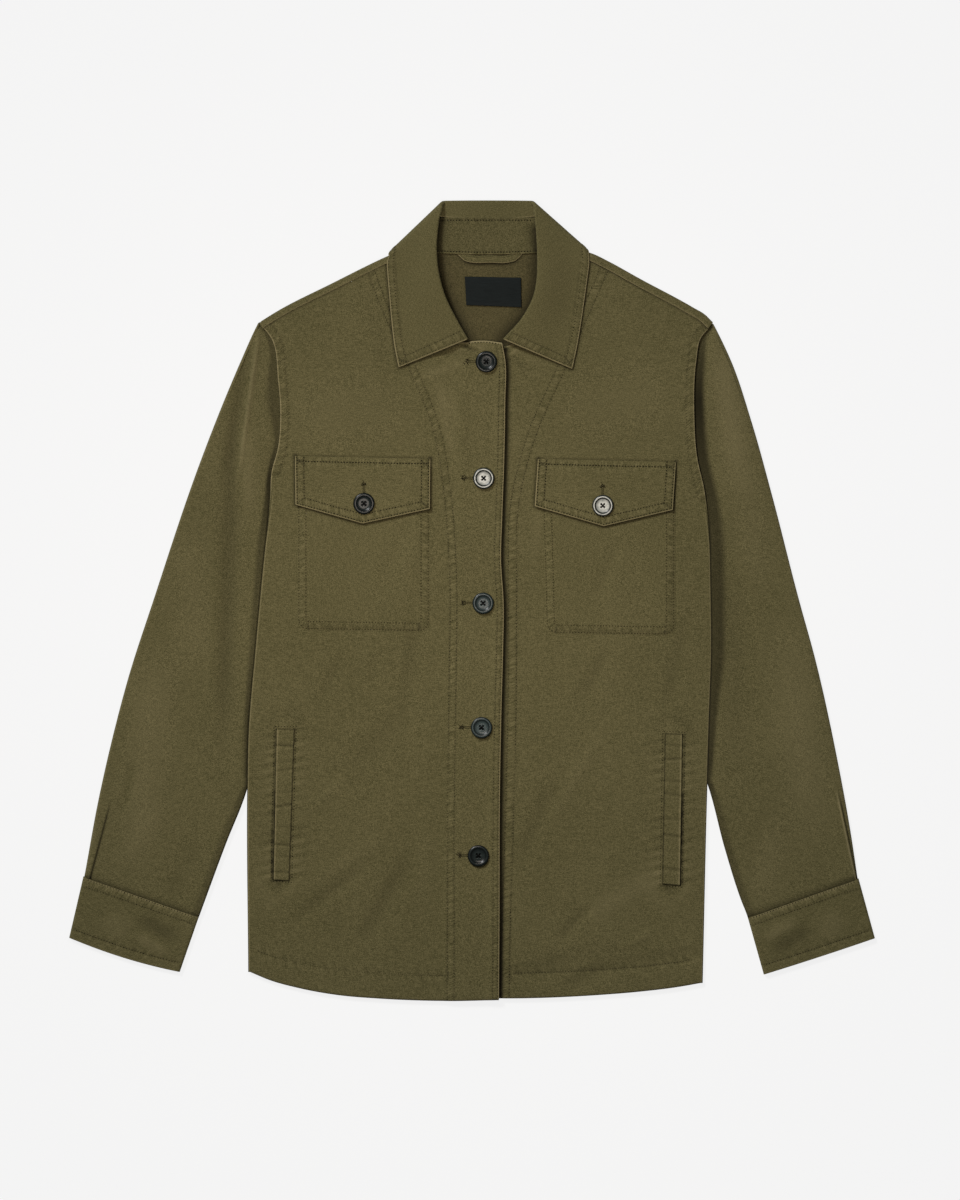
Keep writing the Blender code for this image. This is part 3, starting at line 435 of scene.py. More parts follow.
def put_mesh(name, places, faces, material):
    """Smooth mesh object from places in millimetres and lists of corners, riding with the jacket."""
    mesh = bpy.data.meshes.new(name)
    mesh.from_pydata((places * MM).tolist(), [], faces)
    mesh.shade_smooth()
    mesh.materials.append(material)
    piece = put_in_scene(name, mesh)
    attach(piece, "root")
    return piece


def put_attribute(piece, name, kind, values):
    """Stores one value for each point of a mesh."""
    layer = piece.data.attributes.new(name, kind, "POINT")
    field = "vector" if kind == "FLOAT_VECTOR" else "value"
    layer.data.foreach_set(field, np.ascontiguousarray(values, dtype=np.float32).ravel())


def grid_faces(rows, columns, ring=False):
    """Corner numbers of a grid's faces; a ring joins its last column to its first."""
    index = np.arange(rows * columns).reshape(rows, columns)
    if ring:
        index = np.concatenate((index, index[:, :1]), axis=1)
    return np.stack((index[:-1, :-1], index[:-1, 1:], index[1:, 1:], index[1:, :-1]), axis=-1)


def face_areas(places, faces):
    """Vector areas of four-cornered faces: half the cross product of the diagonals."""
    first, second, third, fourth = (places[faces[:, corner]] for corner in range(4))
    return np.cross(third - first, fourth - second) / 2.0


def put_look(piece, look, points, used):
    """Stores a panel's attributes for the points that it uses; the ones not given are plain."""
    whole = {"cloth": points, "seam": np.zeros(3), "wear_and_shade": 0.0, "pucker": 0.0, **look}
    for name in ("cloth", "seam"):
        spread = np.broadcast_to(whole[name], points.shape).reshape(-1, 3)
        put_attribute(piece, name, "FLOAT_VECTOR", spread[used] * MM)
    for name in ("wear_and_shade", "pucker"):
        spread = np.broadcast_to(whole[name], points.shape[:2]).ravel()
        put_attribute(piece, name, "FLOAT", spread[used])


def sheet(name, node, points, wall, look, faces_up=True, both_ways=False, ring=False,
          left_out=np.s_[:0], finishes=(KHAKI,)):
    """A panel from a grid of points: walled inwards, and stood for its node.

    The outermost face, the highest or the lowest, is turned to face out. Faces that are left out are
    dropped with the points that only they used.
    """
    faces = grid_faces(*points.shape[:2], ring)
    kept = np.ones(faces.shape[:2], bool)
    kept[left_out] = False
    used, faces = np.unique(faces[kept], return_inverse=True)
    faces = faces.reshape(-1, 4)
    places = points.reshape(-1, 3)[used]
    areas = face_areas(places, faces)
    level = places[faces].mean(axis=1)[:, 2]
    outermost = np.argmax(level) if faces_up else np.argmin(level)
    if (areas[outermost, 2] > 0) != faces_up:
        faces = faces[:, ::-1]
    piece = put_mesh(name, places, faces.tolist(), finishes[0])
    put_look(piece, look, points, used)
    thickness = piece.modifiers.new("wall", "SOLIDIFY")
    thickness.thickness = wall * MM
    thickness.offset = 0.0 if both_ways else -1.0
    if len(finishes) > 1:
        piece.data.materials.append(finishes[1])
        thickness.material_offset = 1
    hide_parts(node)


# %% [markdown]
# ## Folds, seams and puckers
# A soft fold is a bell-shaped ridge or trough along a line. A topstitched seam is a low ridge between two
# rows of thread, and as the thread shrinks in the wash the cloth between puckers in uneven waves. Both are
# height fields over the flat panel, so the stitches can ask the same field where the cloth lies. Cloth
# simulation would give folds too, but not these ones in these places. Each kind of seam is a row of a
# table: the seed of its waves, half the width between its rows of thread, the height of its ridge and of
# its puckers, their pitch, reach and slant, how strongly it gathers, and, where they aren't the usual
# ones, its grooves and its painted shade, which darkens its rows of thread and the troughs of its waves.

# %% Relief
FOLD_FADE = 0.5
WAVES = 700
ROW_WIDTH = 0.9
ROW_GROOVE = 0.2
ROW_SHADE = 0.22
NARROWEST_RIDGE = 1.5
LAYER_STEP = 40.0
EDGE_DROP = 0.28
EDGE_TURN = 1.1
EDGE_WEAR = 0.8
EDGE_WEAR_WIDTH = 1.5
BAND_COLUMNS = "seed half ridge pucker pitch reach slant gather groove shade"
BAND_DEFAULTS = {"groove": 1.0, "shade": 0.14}
BAND_ROWS = {
    "right_facing": (11, 3.2, 0.12, 0.1, 3.8, 4.2, 0.35, 0.7),
    "left_facing": (11, 3.8, 0.12, 0.1, 3.8, 4.2, 0.35, 0.7),
    "armhole": (12, 2.7, 0.3, 0.3, 4.2, 5.5, 0.8, 0.8),
    "hem": (13, 0.0, -0.2, 0.12, 5.0, 6.0, 0.5, 0.5),
    "welt": (14, 0.0, 0.0, 0.4, 4.6, 17.0, 0.25, 0.3, 0.0, 0.36),
    "front_edge": (15, 2.4, 0.2, 0.1, 3.8, 3.6, 0.25, 0.5),
    "cuff_top": (21, 3.2, 0.28, 0.12, 3.8, 4.4, 0.3, 0.7),
    "cuff_hem": (22, 0.0, -0.2, 0.08, 5.0, 4.0, 0.3, 0.3),
    "collar_leaf": (31, 3.3, 0.25, 0.12, 3.8, 4.4, 0.3, 0.7),
    "collar_stand": (33, 0.0, -0.1, 0.08, 4.0, 4.0, 0.3, 0.3, 0.6),
    "flap": (41, 3.3, 0.25, 0.1, 3.6, 4.2, 0.3, 0.7),
    "flap_top": (42, 0.0, -0.15, 0.12, 3.6, 3.6, 0.1, 0.7),
    "pocket": (43, 3.3, 0.04, 0.05, 3.6, 4.2, 0.3, 0.7, 0.2),
}
BANDS = {kind: BAND_DEFAULTS | dict(zip(BAND_COLUMNS.split(), row)) for kind, row in BAND_ROWS.items()}


def beside_segment(x, y, x0, y0, x1, y1):
    """Share of a segment passed at each place, and the distance to its right."""
    length = np.hypot(x1 - x0, y1 - y0)
    along = ((x - x0) * (x1 - x0) + (y - y0) * (y1 - y0)) / length ** 2
    return along, ((x - x0) * (y1 - y0) - (y - y0) * (x1 - x0)) / length


def soft_folds(x, y, folds):
    """Sum of ridges and troughs, each a bell across its line that fades at both ends."""
    total = np.zeros_like(x)
    for *ends, width, height in zip(*folds.values()):
        along, across = beside_segment(x, y, *ends)
        shown = ease(along / FOLD_FADE + 0.5) * ease((1.0 - along) / FOLD_FADE + 0.5)
        total += height * bell(across, width) * shown
    return total


def uneven_waves(place, pitch, seed):
    """Waves that turn up and down at every pitch, each by its own drawn height."""
    knots = np.arange(-WAVES // 4, WAVES)
    heights = np.random.default_rng(seed).uniform(0.15, 1.0, len(knots)) * (-1.0) ** knots
    return smooth(knots * pitch, heights)(place)


def beside(line, x, y):
    """Length along a line of points and signed distance to its left, from each place's nearest segment."""
    spots = np.stack((np.ravel(x), np.ravel(y)), axis=1)
    run = np.diff(line, axis=0)
    lengths = np.linalg.norm(run, axis=1)
    passed = passed_along(line)
    along = np.zeros(len(spots))
    across = np.full(len(spots), 1e6)
    for start, step, length, before in zip(line, run, lengths, passed):
        offset = spots - start
        share = np.clip(offset @ step / length ** 2, 0.0, 1.0)
        gap = offset - share[:, None] * step
        distance = np.hypot(gap[:, 0], gap[:, 1])
        left = np.where(step[0] * offset[:, 1] - step[1] * offset[:, 0] < 0, -1.0, 1.0)
        closer = distance < np.abs(across)
        along = np.where(closer, before + share * length, along)
        across = np.where(closer, left * distance, across)
    return along.reshape(np.shape(x)), across.reshape(np.shape(x))


def band_look(across, along, band):
    """Height, wear and painted shade, gathers and drifted length of a seam by the place beside it.

    A seam is a ridge with a groove at each row of thread, crossed by slanted waves. Painted shade darkens
    the rows of thread and the waves' troughs, and the waves' crests go pale with wear.
    """
    drift = along + band["slant"] * across
    waves = uneven_waves(drift, band["pitch"], band["seed"])
    near = bell(across, band["reach"])
    rows = bell(np.abs(across) - band["half"], ROW_WIDTH) * band["groove"]
    ridge = band["ridge"] * bell(across, max(band["half"], NARROWEST_RIDGE))
    height = ridge + band["pucker"] * waves * near - ROW_GROOVE * rows
    # Painted shade on the rows of thread and in the troughs of the waves; the crests go pale with wear.
    return height, band["shade"] * waves * near - ROW_SHADE * rows, near * band["gather"], drift


def seam_place(along, across, layer):
    """Place along and across a seam, in a layer of the noise of its own."""
    return np.stack((along, across, np.full(np.shape(along), layer)), axis=-1)


def seam_relief(x, y, seams):
    """Height and look of several seams, each a line and its kind; the strongest one gives the puckers."""
    height, wear_and_shade, pucker = np.zeros((3,) + np.shape(x))
    place = np.zeros(np.shape(x) + (3,))
    for line, band in seams:
        along, across = beside(line, x, y)
        raised, wear_light_and_shade, gathered, drift = band_look(across, along, band)
        height += raised
        wear_and_shade += wear_light_and_shade
        spot = seam_place(drift, across, LAYER_STEP * band["seed"])
        place = np.where((gathered > pucker)[..., None], spot, place)
        pucker = np.maximum(gathered, pucker)
    return height, {"wear_and_shade": wear_and_shade, "pucker": pucker, "seam": place}


def edge_round(distance):
    """Height and wear of a folded edge: it turns down over its last millimetre, and the dye has gone."""
    drop = EDGE_DROP * (1.0 - ease(distance / EDGE_TURN)) ** 2
    return -drop, EDGE_WEAR * (1.0 - ease(distance / EDGE_WEAR_WIDTH))


def streak(distance, strength, place, width):
    """A line that runs beside an edge at a distance from it."""
    return strength * bell(distance - place, width)


def fading(distance, strength, start, run):
    """Full strength at an edge, from a start on fading out over a run."""
    return strength * (1.0 - ease((distance - start) / run))


def contact_shade(x, y, lines, depth=0.7, width=2.0):
    """Painted shadow on the cloth close by edges that lie on it."""
    shade = np.zeros(np.shape(x))
    for line in lines:
        shade = np.maximum(shade, bell(beside(line, x, y)[1], width))
    return -depth * shade


print("kinds of seam:", ", ".join(BANDS))

# %% [markdown]
# ## The body's pattern
# These tables are the jacket's cut as it lies: the armholes and sides, the necklines, the front edges and
# the hems. They follow the solids' tables, so the shells land on the solids.

# %% Outlines of the body
ROLL = 1.9
ROLL_TAIL = 0.4
ROLL_EASE = 0.8
QUARTER_TURN = ROLL * np.pi / 2
FRONT_HEIGHT = 2 * (ROLL + ROLL_TAIL) + SEAM
FOLD_RADIUS = FRONT_HEIGHT / 2
HALF_TURN = FOLD_RADIUS * np.pi
SHOULDER_SEAM = 1.0
FRONT_MIDDLE_X = 13.5
FRONT_MIDDLE_Y = 226.5
FRONT_MIDDLE_LEAN = 0.016
UNDERLAP = 18.0
LAP_RISE = CLOTH + SEAM + 0.4
LAP_RAMP = 15.0
LAP_AHEAD = 16.5
WRAP = {"right": 4.8, "left": 6.0}
SHOULDER_OUT = {"right": (-0.6, 0.8), "left": (0.6, 0.8)}
NECK_END_X = {"right": -39.0, "left": 66.0}
NECK_X = 13.5
WRAP_TURN_RUN = 30.0
BODY_EDGE_LENGTH = 640.0
UNDERARM_CURL_ABOVE = 4.0
UNDERARM_CURL_RUN = 72.0
UNDERARM_Y = {"right": 120.5, "left": 108.0}
BACK_HEM_RISE = 2.0
NECK_OUTER_SHARE = 0.045
NECK_ROWS_SHARE = 0.2
TOP_ROWS_SHARE = 0.06
BACK_START_SHARE = 0.004

BODY_EDGE = outlines(
    right=(
        (-202.5, 263.5), (-191.5, 250.5), (-184, 208), (-182, 177), (-184, 146), (-190.5, 120.5),
        (-191.5, 101.5), (-198.5, 33.5), (-206, -46.5), (-212.5, -126.5), (-213.5, -180),
        (-212.5, -352.5),
    ),
    left=(
        (229, 262.5), (217, 248.5), (213, 227.5), (211, 177), (214, 134.5), (220, 108), (224.5, 76),
        (227, 10), (227.5, -50), (225.5, -108.5), (223.5, -172.5), (219, -363),
    ),
)
NECK_SIDE = outlines(
    right=((-40.5, 336.2), (-43.5, 321.5), (-41, 295), (-31.5, 268), (-17, 247)),
    left=((68.5, 339.2), (73, 322), (71.5, 300), (66, 281), (54, 260), (40, 244)),
)
NECK_FRONT_POINTS = both(
    "x y",
    right=((-17, 247), (-8, 244.8), (2, 246.3), (12, 246.6), (28.5, 244.5)),
    left=((-4.5, 240), (20, 240.5), (32, 241.5), (40, 244)),
)
NECK_FRONT = {side: smooth(points["x"], points["y"]) for side, points in NECK_FRONT_POINTS.items()}
FRONT_EDGE = outlines(
    right=(
        (28.5, 244.5), (31.5, 228.5), (31.5, 187.5), (30.5, 131.5), (28.5, 75.5), (27.5, 39.5),
        (30, -3), (29.5, -45), (28, -101), (26.5, -179), (26, -313), (25.5, -379),
    ),
    left=((-4.5, 240), (-8, 20), (-14, -377)),
)
FACING_LINE_X = {"right": (-17.0, -22.0), "left": (40.0, 36.0)}
HEM_POINTS = both(
    "x y",
    right=(
        (-212.5, -352.5), (-192, -361), (-164, -368.5), (-126.5, -375), (-89, -378), (-23, -380),
        (25.5, -379),
    ),
    left=((-14, -377), (50.5, -377.5), (121, -374.5), (158.5, -371.5), (196, -367), (219, -363)),
)
HEM = {side: smooth(points["x"], points["y"]) for side, points in HEM_POINTS.items()}
BACK_TOP_POINTS = table(
    "x y",
    (-202.5, 263.5), (-184, 275), (-133, 301), (-81, 326.5), (-55, 337.5), (-39, 342), (-28, 334.5),
    (-8, 330), (14, 329.5), (38, 330), (56, 335.5), (66, 346), (84, 340), (104, 332.6), (112, 330.2),
    (128.5, 322.4), (157.5, 306.4), (208.5, 278.8), (220.5, 271.5), (229, 262.5),
)
BACK_TOP = smooth(BACK_TOP_POINTS["x"], BACK_TOP_POINTS["y"])
print("half chest at the underarm:", BODY_EDGE["left"](0.25)[0] - BODY_EDGE["right"](0.25)[0], "mm")

# %% [markdown]
# ## How the body's layers lie
# The back lies on the floor, the fronts lie on the back, and the right front laps over the left one. At
# the sides both roll into a seam. The collar's fall lies under the back neck and lifts what is over it.
# The folds are broad and faint on the fronts, with drags where the top button pulls.

# %% Heights of the layers
FALL_EDGE_Y = 311.0
FALL_EDGE_DROP = 21.0
FALL_HALF = 93.5
FALL_X = 15.5
LIFT = DOUBLE + 0.4
LIFT_RUN = 34.0
LIFT_REACH = 4.0
LIFT_SIDE = 30.0
LIFT_SIDE_RUN = 24.0
FOLD_COLUMNS = "x0 y0 x1 y1 width height"
FRONT_FOLDS = table(
    FOLD_COLUMNS,
    (-59, 77, -85, 10, 8, -0.9), (-45, 50, -62, -95, 7, -1.1), (-125, -56, -142, -92, 5, -0.9),
    (-90, -53, -96, -80, 5, -0.7), (-62, -104, -116, -167, 13, -0.9), (-104, -158, -157, -199, 6, 0.45),
    (-62, -250, -102, -322, 9, -1.6), (-85, -225, -157, -272, 7, 0.5), (-106, -256, -164, -301, 6, -1.1),
    (-44, -225, -50, -287, 8, 0.5), (-97, 295, -78, 210, 9, -0.7), (-35, 210, -2, 153, 8, 0.7),
    (140, 55, 119, 1, 7, -0.9), (128, -50, 105, -97, 7, -1.0), (121, -130, 74, -208, 6, 0.5),
    (204, -18, 185, -104, 7, -0.9), (77, -177, 48, -246, 8, -1.0), (109, -294, 84, -322, 6, -1.0),
    (169, -316, 143, -329, 4, 0.7), (216, -335, 128, -348, 7, -0.9), (128, -348, 90, -367, 8, -1.2),
    (33, -354, 86, -348, 8, -0.9), (150, 48, 169, -28, 9, -0.7),
    (-160, 170, -70, 190, 36, 0.6), (90, 180, 180, 200, 36, 0.6),
)
# Share of a fold's height painted into the colour: light on its ridge, shade in its trough.
FOLD_LIGHT_AND_SHADE = 0.08
DRAG_LIGHT_AND_SHADE = 0.48
EDGE_LIFT = 1.3
EDGE_LIFT_START = 24.0
EDGE_LIFT_RUN = 10.0
FRONT_DRAGS = both(
    FOLD_COLUMNS,
    right=(
        (-20, 239, 14, 240, 3.2, 0.35), (-30, 234, 2, 236, 3.0, -0.3), (-46, 214, -8, 226, 4.5, 0.2),
        (-9.7, 241.2, 4.9, 237.6, 1.4, -1.2), (-9.2, 243.7, -1.2, 238.8, 1.2, -1.0),
        (-30, 196, -20, 140, 6, 0.2), (-8, 190, -4, 142, 5, -0.2), (-120, 30, -60, 62, 9, 0.15),
    ),
    left=(
        (36, 240, 64, 226, 3.5, 0.15), (36, 234, 54, 216, 3.5, -0.3), (60, 40, 66, 110, 5, 0.15),
        (33, 244, 33, 237, 1.6, -0.7), (33, 231.5, 43, 238, 1.2, 0.6), (110, -300, 190, -250, 10, 0.2),
        (60, -345, 150, -325, 9, -0.2),
    ),
)


def roll(distance, curl, radius, bent):
    """Reach and rise of a strip after a distance, its first stretch bent by a share of the full curl."""
    arc = np.minimum(distance, bent)
    angle = arc * curl / radius
    straight = distance - arc
    reach = arc * np.sinc(angle / np.pi) + straight * np.cos(angle)
    rise = arc * angle / 2.0 * np.sinc(angle / (2.0 * np.pi)) ** 2 + straight * np.sin(angle)
    return reach, rise


def edge_roll(distance, curl):
    """Reach and rise of a panel's edge that rolls to a seam, held open a little where the curl starts."""
    reach, rise = roll(distance, curl, ROLL, QUARTER_TURN)
    return reach, rise * mix(ROLL_EASE, 1.0, curl ** 4)


def patch(inner, outer, columns, rows, top_bend, bottom_bend):
    """Panel ruled from the inner edge to the outer one, its top and bottom bent to their curves."""
    across = columns[None, :, None]
    down = rows[:, None, None]
    flat = mix(inner[:, None, :], outer[:, None, :], across)
    return flat + (1.0 - down) ** 2 * top_bend[None] + down ** 4 * bottom_bend[None]


def bend(curve, start_x, end_x, columns):
    """How far a curve, read at evenly blended places, departs from the straight line between its ends."""
    x = mix(start_x, end_x, columns)
    y = curve(x)
    return np.column_stack((np.zeros_like(x), y - mix(y[0], y[-1], columns)))


def fall_edge_y(x):
    """Edge of the collar fall where it lies under the back."""
    return FALL_EDGE_Y + FALL_EDGE_DROP * np.minimum(np.abs(x - FALL_X) / FALL_HALF, 1.0) ** 2


def collar_lift(x, y):
    """Height by which the collar fall under the back raises the cloth over it."""
    up = ease((y - fall_edge_y(x) + LIFT_RUN) / (LIFT_RUN - LIFT_REACH))
    sideways = ease((FALL_HALF + LIFT_SIDE - np.abs(x - FALL_X)) / LIFT_SIDE_RUN)
    return LIFT * up * sideways


def front_top(side, x, y):
    """Height of a front's outer face: the layers under it, the lap at its edge, and the soft folds."""
    height = FRONT_HEIGHT + collar_lift(x, y) + soft_folds(x, y, FRONT_FOLDS)
    height = height + soft_folds(x, y, FRONT_DRAGS[side])
    if side == "left":
        return height
    under_edge_x = FRONT_MIDDLE_X + FRONT_MIDDLE_LEAN * (y - FRONT_MIDDLE_Y) - UNDERLAP
    lap = LAP_RISE * ease((x - under_edge_x + LAP_AHEAD) / LAP_RAMP)
    lift = EDGE_LIFT * ease((x - under_edge_x - EDGE_LIFT_START) / EDGE_LIFT_RUN)
    return height + lap + lift


def fold_light_and_shade(side, x, y):
    """Painted light on the ridges of a front's soft folds and drags, and painted shade in their troughs.
    """
    return FOLD_LIGHT_AND_SHADE * soft_folds(x, y, FRONT_FOLDS) + DRAG_LIGHT_AND_SHADE * soft_folds(x, y, FRONT_DRAGS[side])


def side_curl(side, y):
    """Share of the full roll at the body's edge: none on the armhole, all of it below the underarm."""
    return ease((UNDERARM_Y[side] + UNDERARM_CURL_ABOVE - y) / UNDERARM_CURL_RUN)


def rolled_edge(side, share):
    """Where the flat part of a panel ends at the body's edge, the way out and the curl, for each row."""
    edge = BODY_EDGE[side](share)
    out = normals(BODY_EDGE[side], share, (SIDE_SIGN[side], 0.0))
    curl = side_curl(side, edge[:, 1])
    reach = edge_roll(ROLL_STEPS[-1], curl)[0]
    return edge - out * reach[:, None], out, curl


ROLL_STEPS = np.append(np.linspace(QUARTER_TURN / 6, QUARTER_TURN, 6), QUARTER_TURN + ROLL_TAIL)
print("height of the fronts over the floor:", FRONT_HEIGHT, "mm")

# %% [markdown]
# ## The back
# One panel, flat on the floor, rolled up at the sides and wrapped forward over the shoulders, where it
# shows as the strip above the front shoulder seam. Its inside also shows in the neck. It has a few faint
# presses of its own, which stand up from the floor.

# %% Make the back
LEAF_ROWS = both(
    "roll_x roll_y roll_z edge_x edge_y flap sink",
    right=(
        (-5.5, 247.3, 9.4, -69.5, 221.5, 6, 0.8), (-18, 269.5, 11.0, -73.5, 242, 9, 3.0),
        (-27.5, 289.5, 12.3, -76.5, 268, 8, 3.0), (-33.5, 313, 12.3, -79, 297, 6.5, 2.0),
        (-35, 336.5, 10.8, -80.5, 316, 5, 1.0), (-32.8, 360, 9.2, -80.2, 322, 7, 0.5),
    ),
    left=(
        (31, 247.3, 8.8, 95, 220, 6, 1.0), (48, 266, 10.6, 99.5, 241, 5, 2.0),
        (59, 286, 12.0, 104, 268, 6, 2.5), (63, 305, 12.2, 107.8, 295, 5.5, 2.0),
        (63.5, 328.5, 10.8, 110.8, 317, 5, 1.0), (62.2, 352, 9.2, 111, 324.5, 7, 0.5),
    ),
)
LEAF_ROLLS = [np.column_stack((rows["roll_x"], rows["roll_y"])) for rows in LEAF_ROWS.values()]
BACK_PRESSES = table(
    FOLD_COLUMNS,
    (-150, 40, -60, -40, 12, 0.25), (40, -200, 150, -120, 14, 0.3), (-120, -300, 0, -250, 12, 0.25),
    (20, 120, 120, 180, 14, 0.25), (-30, 255, 20, 262, 9, 0.3), (10, 300, 52, 268, 8, 0.25),
)
LOOP_PATH = outline(table("x y", (-11.5, 331.5), (-8.5, 328.5), (-4.8, 325.4), (-1, 324.5), (17, 324.3),
                          (35, 324.5), (38.8, 325.5), (42.5, 328.3), (45.5, 331.5)))
LOOP_WIDTH = 7.2
SHOULDER_COLUMNS = 44
NECK_COLUMNS = 34
BACK_TOP_ROWS = np.linspace(0, 1, 14)[:-1]
BACK_LOWER_ROWS = np.linspace(0, 1, 118) ** 1.4
WRAP_SHARES = np.linspace(1, 0, 12)[:-1]
WRAP_LAP = 1.8
WRAP_LAP_ROWS = (0.0, 0.5, 1.1, 2.2)
WRAP_LAP_RISE = 0.45
WRAP_LAP_START = 4.0
WRAP_LAP_RUN = 3.0
WRAP_WEAR = 0.6
# Painted shadow: beside the collar's rolls inside the neck, and under the hanger loop's lower edge.
NECK_SHADE = (0.75, 9.0)
LOOP_SHADE = (0.95, 2.0)


def shoulder_wrap(edge):
    """Rows that roll the back's top edge up and forward, from the shoulder seam back to that edge."""
    x = edge[:, 0]
    on_left = x > NECK_X
    from_neck = np.where(on_left, x - NECK_END_X["left"], NECK_END_X["right"] - x)
    forward = np.where(on_left, WRAP["left"], WRAP["right"]) - FOLD_RADIUS
    slope = np.where(on_left[:, None], SHOULDER_OUT["left"], SHOULDER_OUT["right"])
    way = mix(np.array((0.0, 1.0)), slope, ease(from_neck / WRAP_TURN_RUN)[:, None])
    lap_edge = HALF_TURN + forward + WRAP_LAP
    distances = [lap_edge - inset for inset in WRAP_LAP_ROWS]
    distances += [np.full(len(x), step) for step in HALF_TURN * WRAP_SHARES]
    rows = []
    for distance in distances:
        reach, rise = roll(distance, 1.0, FOLD_RADIUS, HALF_TURN)
        lap = WRAP_LAP_RISE * ease((distance - lap_edge + WRAP_LAP_START) / WRAP_LAP_RUN)
        height = rise + lap + edge_round(lap_edge - distance)[0]
        rows.append(edge + np.column_stack((way * reach[:, None], height)))
    return np.stack(rows)


def back_panel():
    """Ruled panel between the two rolled sides, lifted by the collar under it and pressed a little."""
    share = np.concatenate((
        mix(BACK_START_SHARE, NECK_OUTER_SHARE, BACK_TOP_ROWS),
        mix(NECK_OUTER_SHARE, 1.0, BACK_LOWER_ROWS),
    ))
    rows = np.concatenate((BACK_TOP_ROWS * TOP_ROWS_SHARE, mix(TOP_ROWS_SHARE, 1.0, BACK_LOWER_ROWS)))
    edges = {side: rolled_edge(side, share) for side in SIDES}
    right, left = edges["right"][0], edges["left"][0]
    top_x = np.concatenate((
        np.linspace(right[0, 0], NECK_END_X["right"], SHOULDER_COLUMNS),
        np.linspace(NECK_END_X["right"], NECK_END_X["left"], NECK_COLUMNS)[1:-1],
        np.linspace(NECK_END_X["left"], left[0, 0], SHOULDER_COLUMNS),
    ))
    across = (top_x - top_x[0]) / (top_x[-1] - top_x[0])
    in_neck = (top_x > NECK_END_X["right"]) & (top_x < NECK_END_X["left"])
    top = np.column_stack((top_x, BACK_TOP(top_x) - np.where(in_neck, 0.0, FOLD_RADIUS)))
    hem_x = mix(right[-1, 0], left[-1, 0], across)
    hem_y = np.where(hem_x < NECK_X, HEM["right"](hem_x), HEM["left"](hem_x))
    hem = np.column_stack((hem_x, hem_y))
    top_bend = top - mix(right[:1], left[:1], across[:, None])
    hem_bend = hem + (0, BACK_HEM_RISE) - mix(right[-1:], left[-1:], across[:, None])
    flat = patch(right, left, across, rows, top_bend, hem_bend)
    level = np.dstack((flat, np.zeros(flat.shape[:2])))
    strips = {}
    for side, column in (("right", level[:, :1]), ("left", level[:, -1:])):
        _, out, curl = edges[side]
        reach, rise = edge_roll(ROLL_STEPS, curl[:, None])
        strips[side] = column + np.dstack((out[:, None] * reach[..., None], rise))
    panel = np.concatenate((strips["right"][:, ::-1], level, strips["left"]), axis=1)
    x, y = panel[..., 0], panel[..., 1]
    panel[..., 2] += collar_lift(x, y) + soft_folds(x, y, BACK_PRESSES)
    return panel


def make_back():
    """The panel and the shoulders' wrap above it, with painted shade where the collar and loop lie on it.
    """
    panel = back_panel()
    wrap = shoulder_wrap(panel[0])
    points = np.concatenate((wrap, panel))
    first_neck = len(ROLL_STEPS) + SHOULDER_COLUMNS - 1
    neck = np.s_[: len(wrap), first_neck : first_neck + NECK_COLUMNS - 1]
    loop_edge = sampled(LOOP_PATH) - (0.0, LOOP_WIDTH / 2)
    x, y = points[..., 0], points[..., 1]
    wear_and_shade = contact_shade(x, y, LEAF_ROLLS, *NECK_SHADE) + contact_shade(x, y, [loop_edge], *LOOP_SHADE)
    wear_and_shade[: len(WRAP_LAP_ROWS)] += WRAP_WEAR * edge_round(np.array(WRAP_LAP_ROWS))[1][:, None]
    sheet("back_cloth", "back", points, CLOTH, {"wear_and_shade": wear_and_shade}, faces_up=False,
          left_out=neck, finishes=(KHAKI, KHAKI_WRONG_SIDE_SHADED))


make_back()

# %% [markdown]
# ## Seams of the fronts
# Each front has a double row along its facing and its armhole, and a single row over the hem. The right
# one also has the front edge's rows. The hand pockets pull the cloth beside them into short cross
# wrinkles. They are written as lines first, because the panels, stitches and puckers all use them.

# %% Lines of the fronts' seams
FACING_POINTS = both(
    "x y",
    right=(
        (-96, 313), (-88, 291), (-56, 220), (-33.5, 162.5), (-24, 107.5), (-17.8, 19.5), (-18.5, -75.5),
        (-20, -189.5), (-20.2, -379),
    ),
    left=(
        (125.5, 314.5), (82.5, 216), (57, 158), (48, 128), (41.8, 100), (38.5, -4), (38, -94.5),
        (36, -189.5), (32, -332), (31.5, -376),
    ),
)
ARMHOLE_SHARES = {"right": (0.012, 0.235), "left": (0.02, 0.27)}
ARMHOLE_INSET = 5.0
FRONT_EDGE_SHARES = (0.004, 0.998)
FRONT_EDGE_INSET = 3.8
HEM_STITCH_RISE = 24.0
HEM_STITCH_ENDS = {"right": (-24.5, -203.0), "left": (40.0, 210.0)}
WELT_MIDDLE = both(
    "x y",
    right=((-177.2, -121.5), (-181.2, -265.5)),
    left=((191.5, -126.3), (189.2, -269.8)),
)


def hem_line(side):
    """Hem stitching: the hem moved up, from the facing to the side."""
    x = np.linspace(*HEM_STITCH_ENDS[side], 90)
    return np.column_stack((x, HEM[side](x) + HEM_STITCH_RISE))


def front_seams(side):
    """All the seams of one front by name, each a line and its kind."""
    body_edge = sampled(BODY_EDGE[side], *ARMHOLE_SHARES[side])
    seams = {
        "facing": (sampled(outline(FACING_POINTS[side])), BANDS[f"{side}_facing"]),
        "armhole": (moved_line(body_edge, -ARMHOLE_INSET * SIDE_SIGN[side]), BANDS["armhole"]),
        "hem": (hem_line(side), BANDS["hem"]),
        "welt": (points_of(WELT_MIDDLE[side]), BANDS["welt"]),
    }
    if side == "right":
        front_edge = sampled(FRONT_EDGE["right"], *FRONT_EDGE_SHARES, 200)
        seams["edge"] = (moved_line(front_edge, -FRONT_EDGE_INSET), BANDS["front_edge"])
    return seams


FRONT_SEAMS = {side: front_seams(side) for side in SIDES}


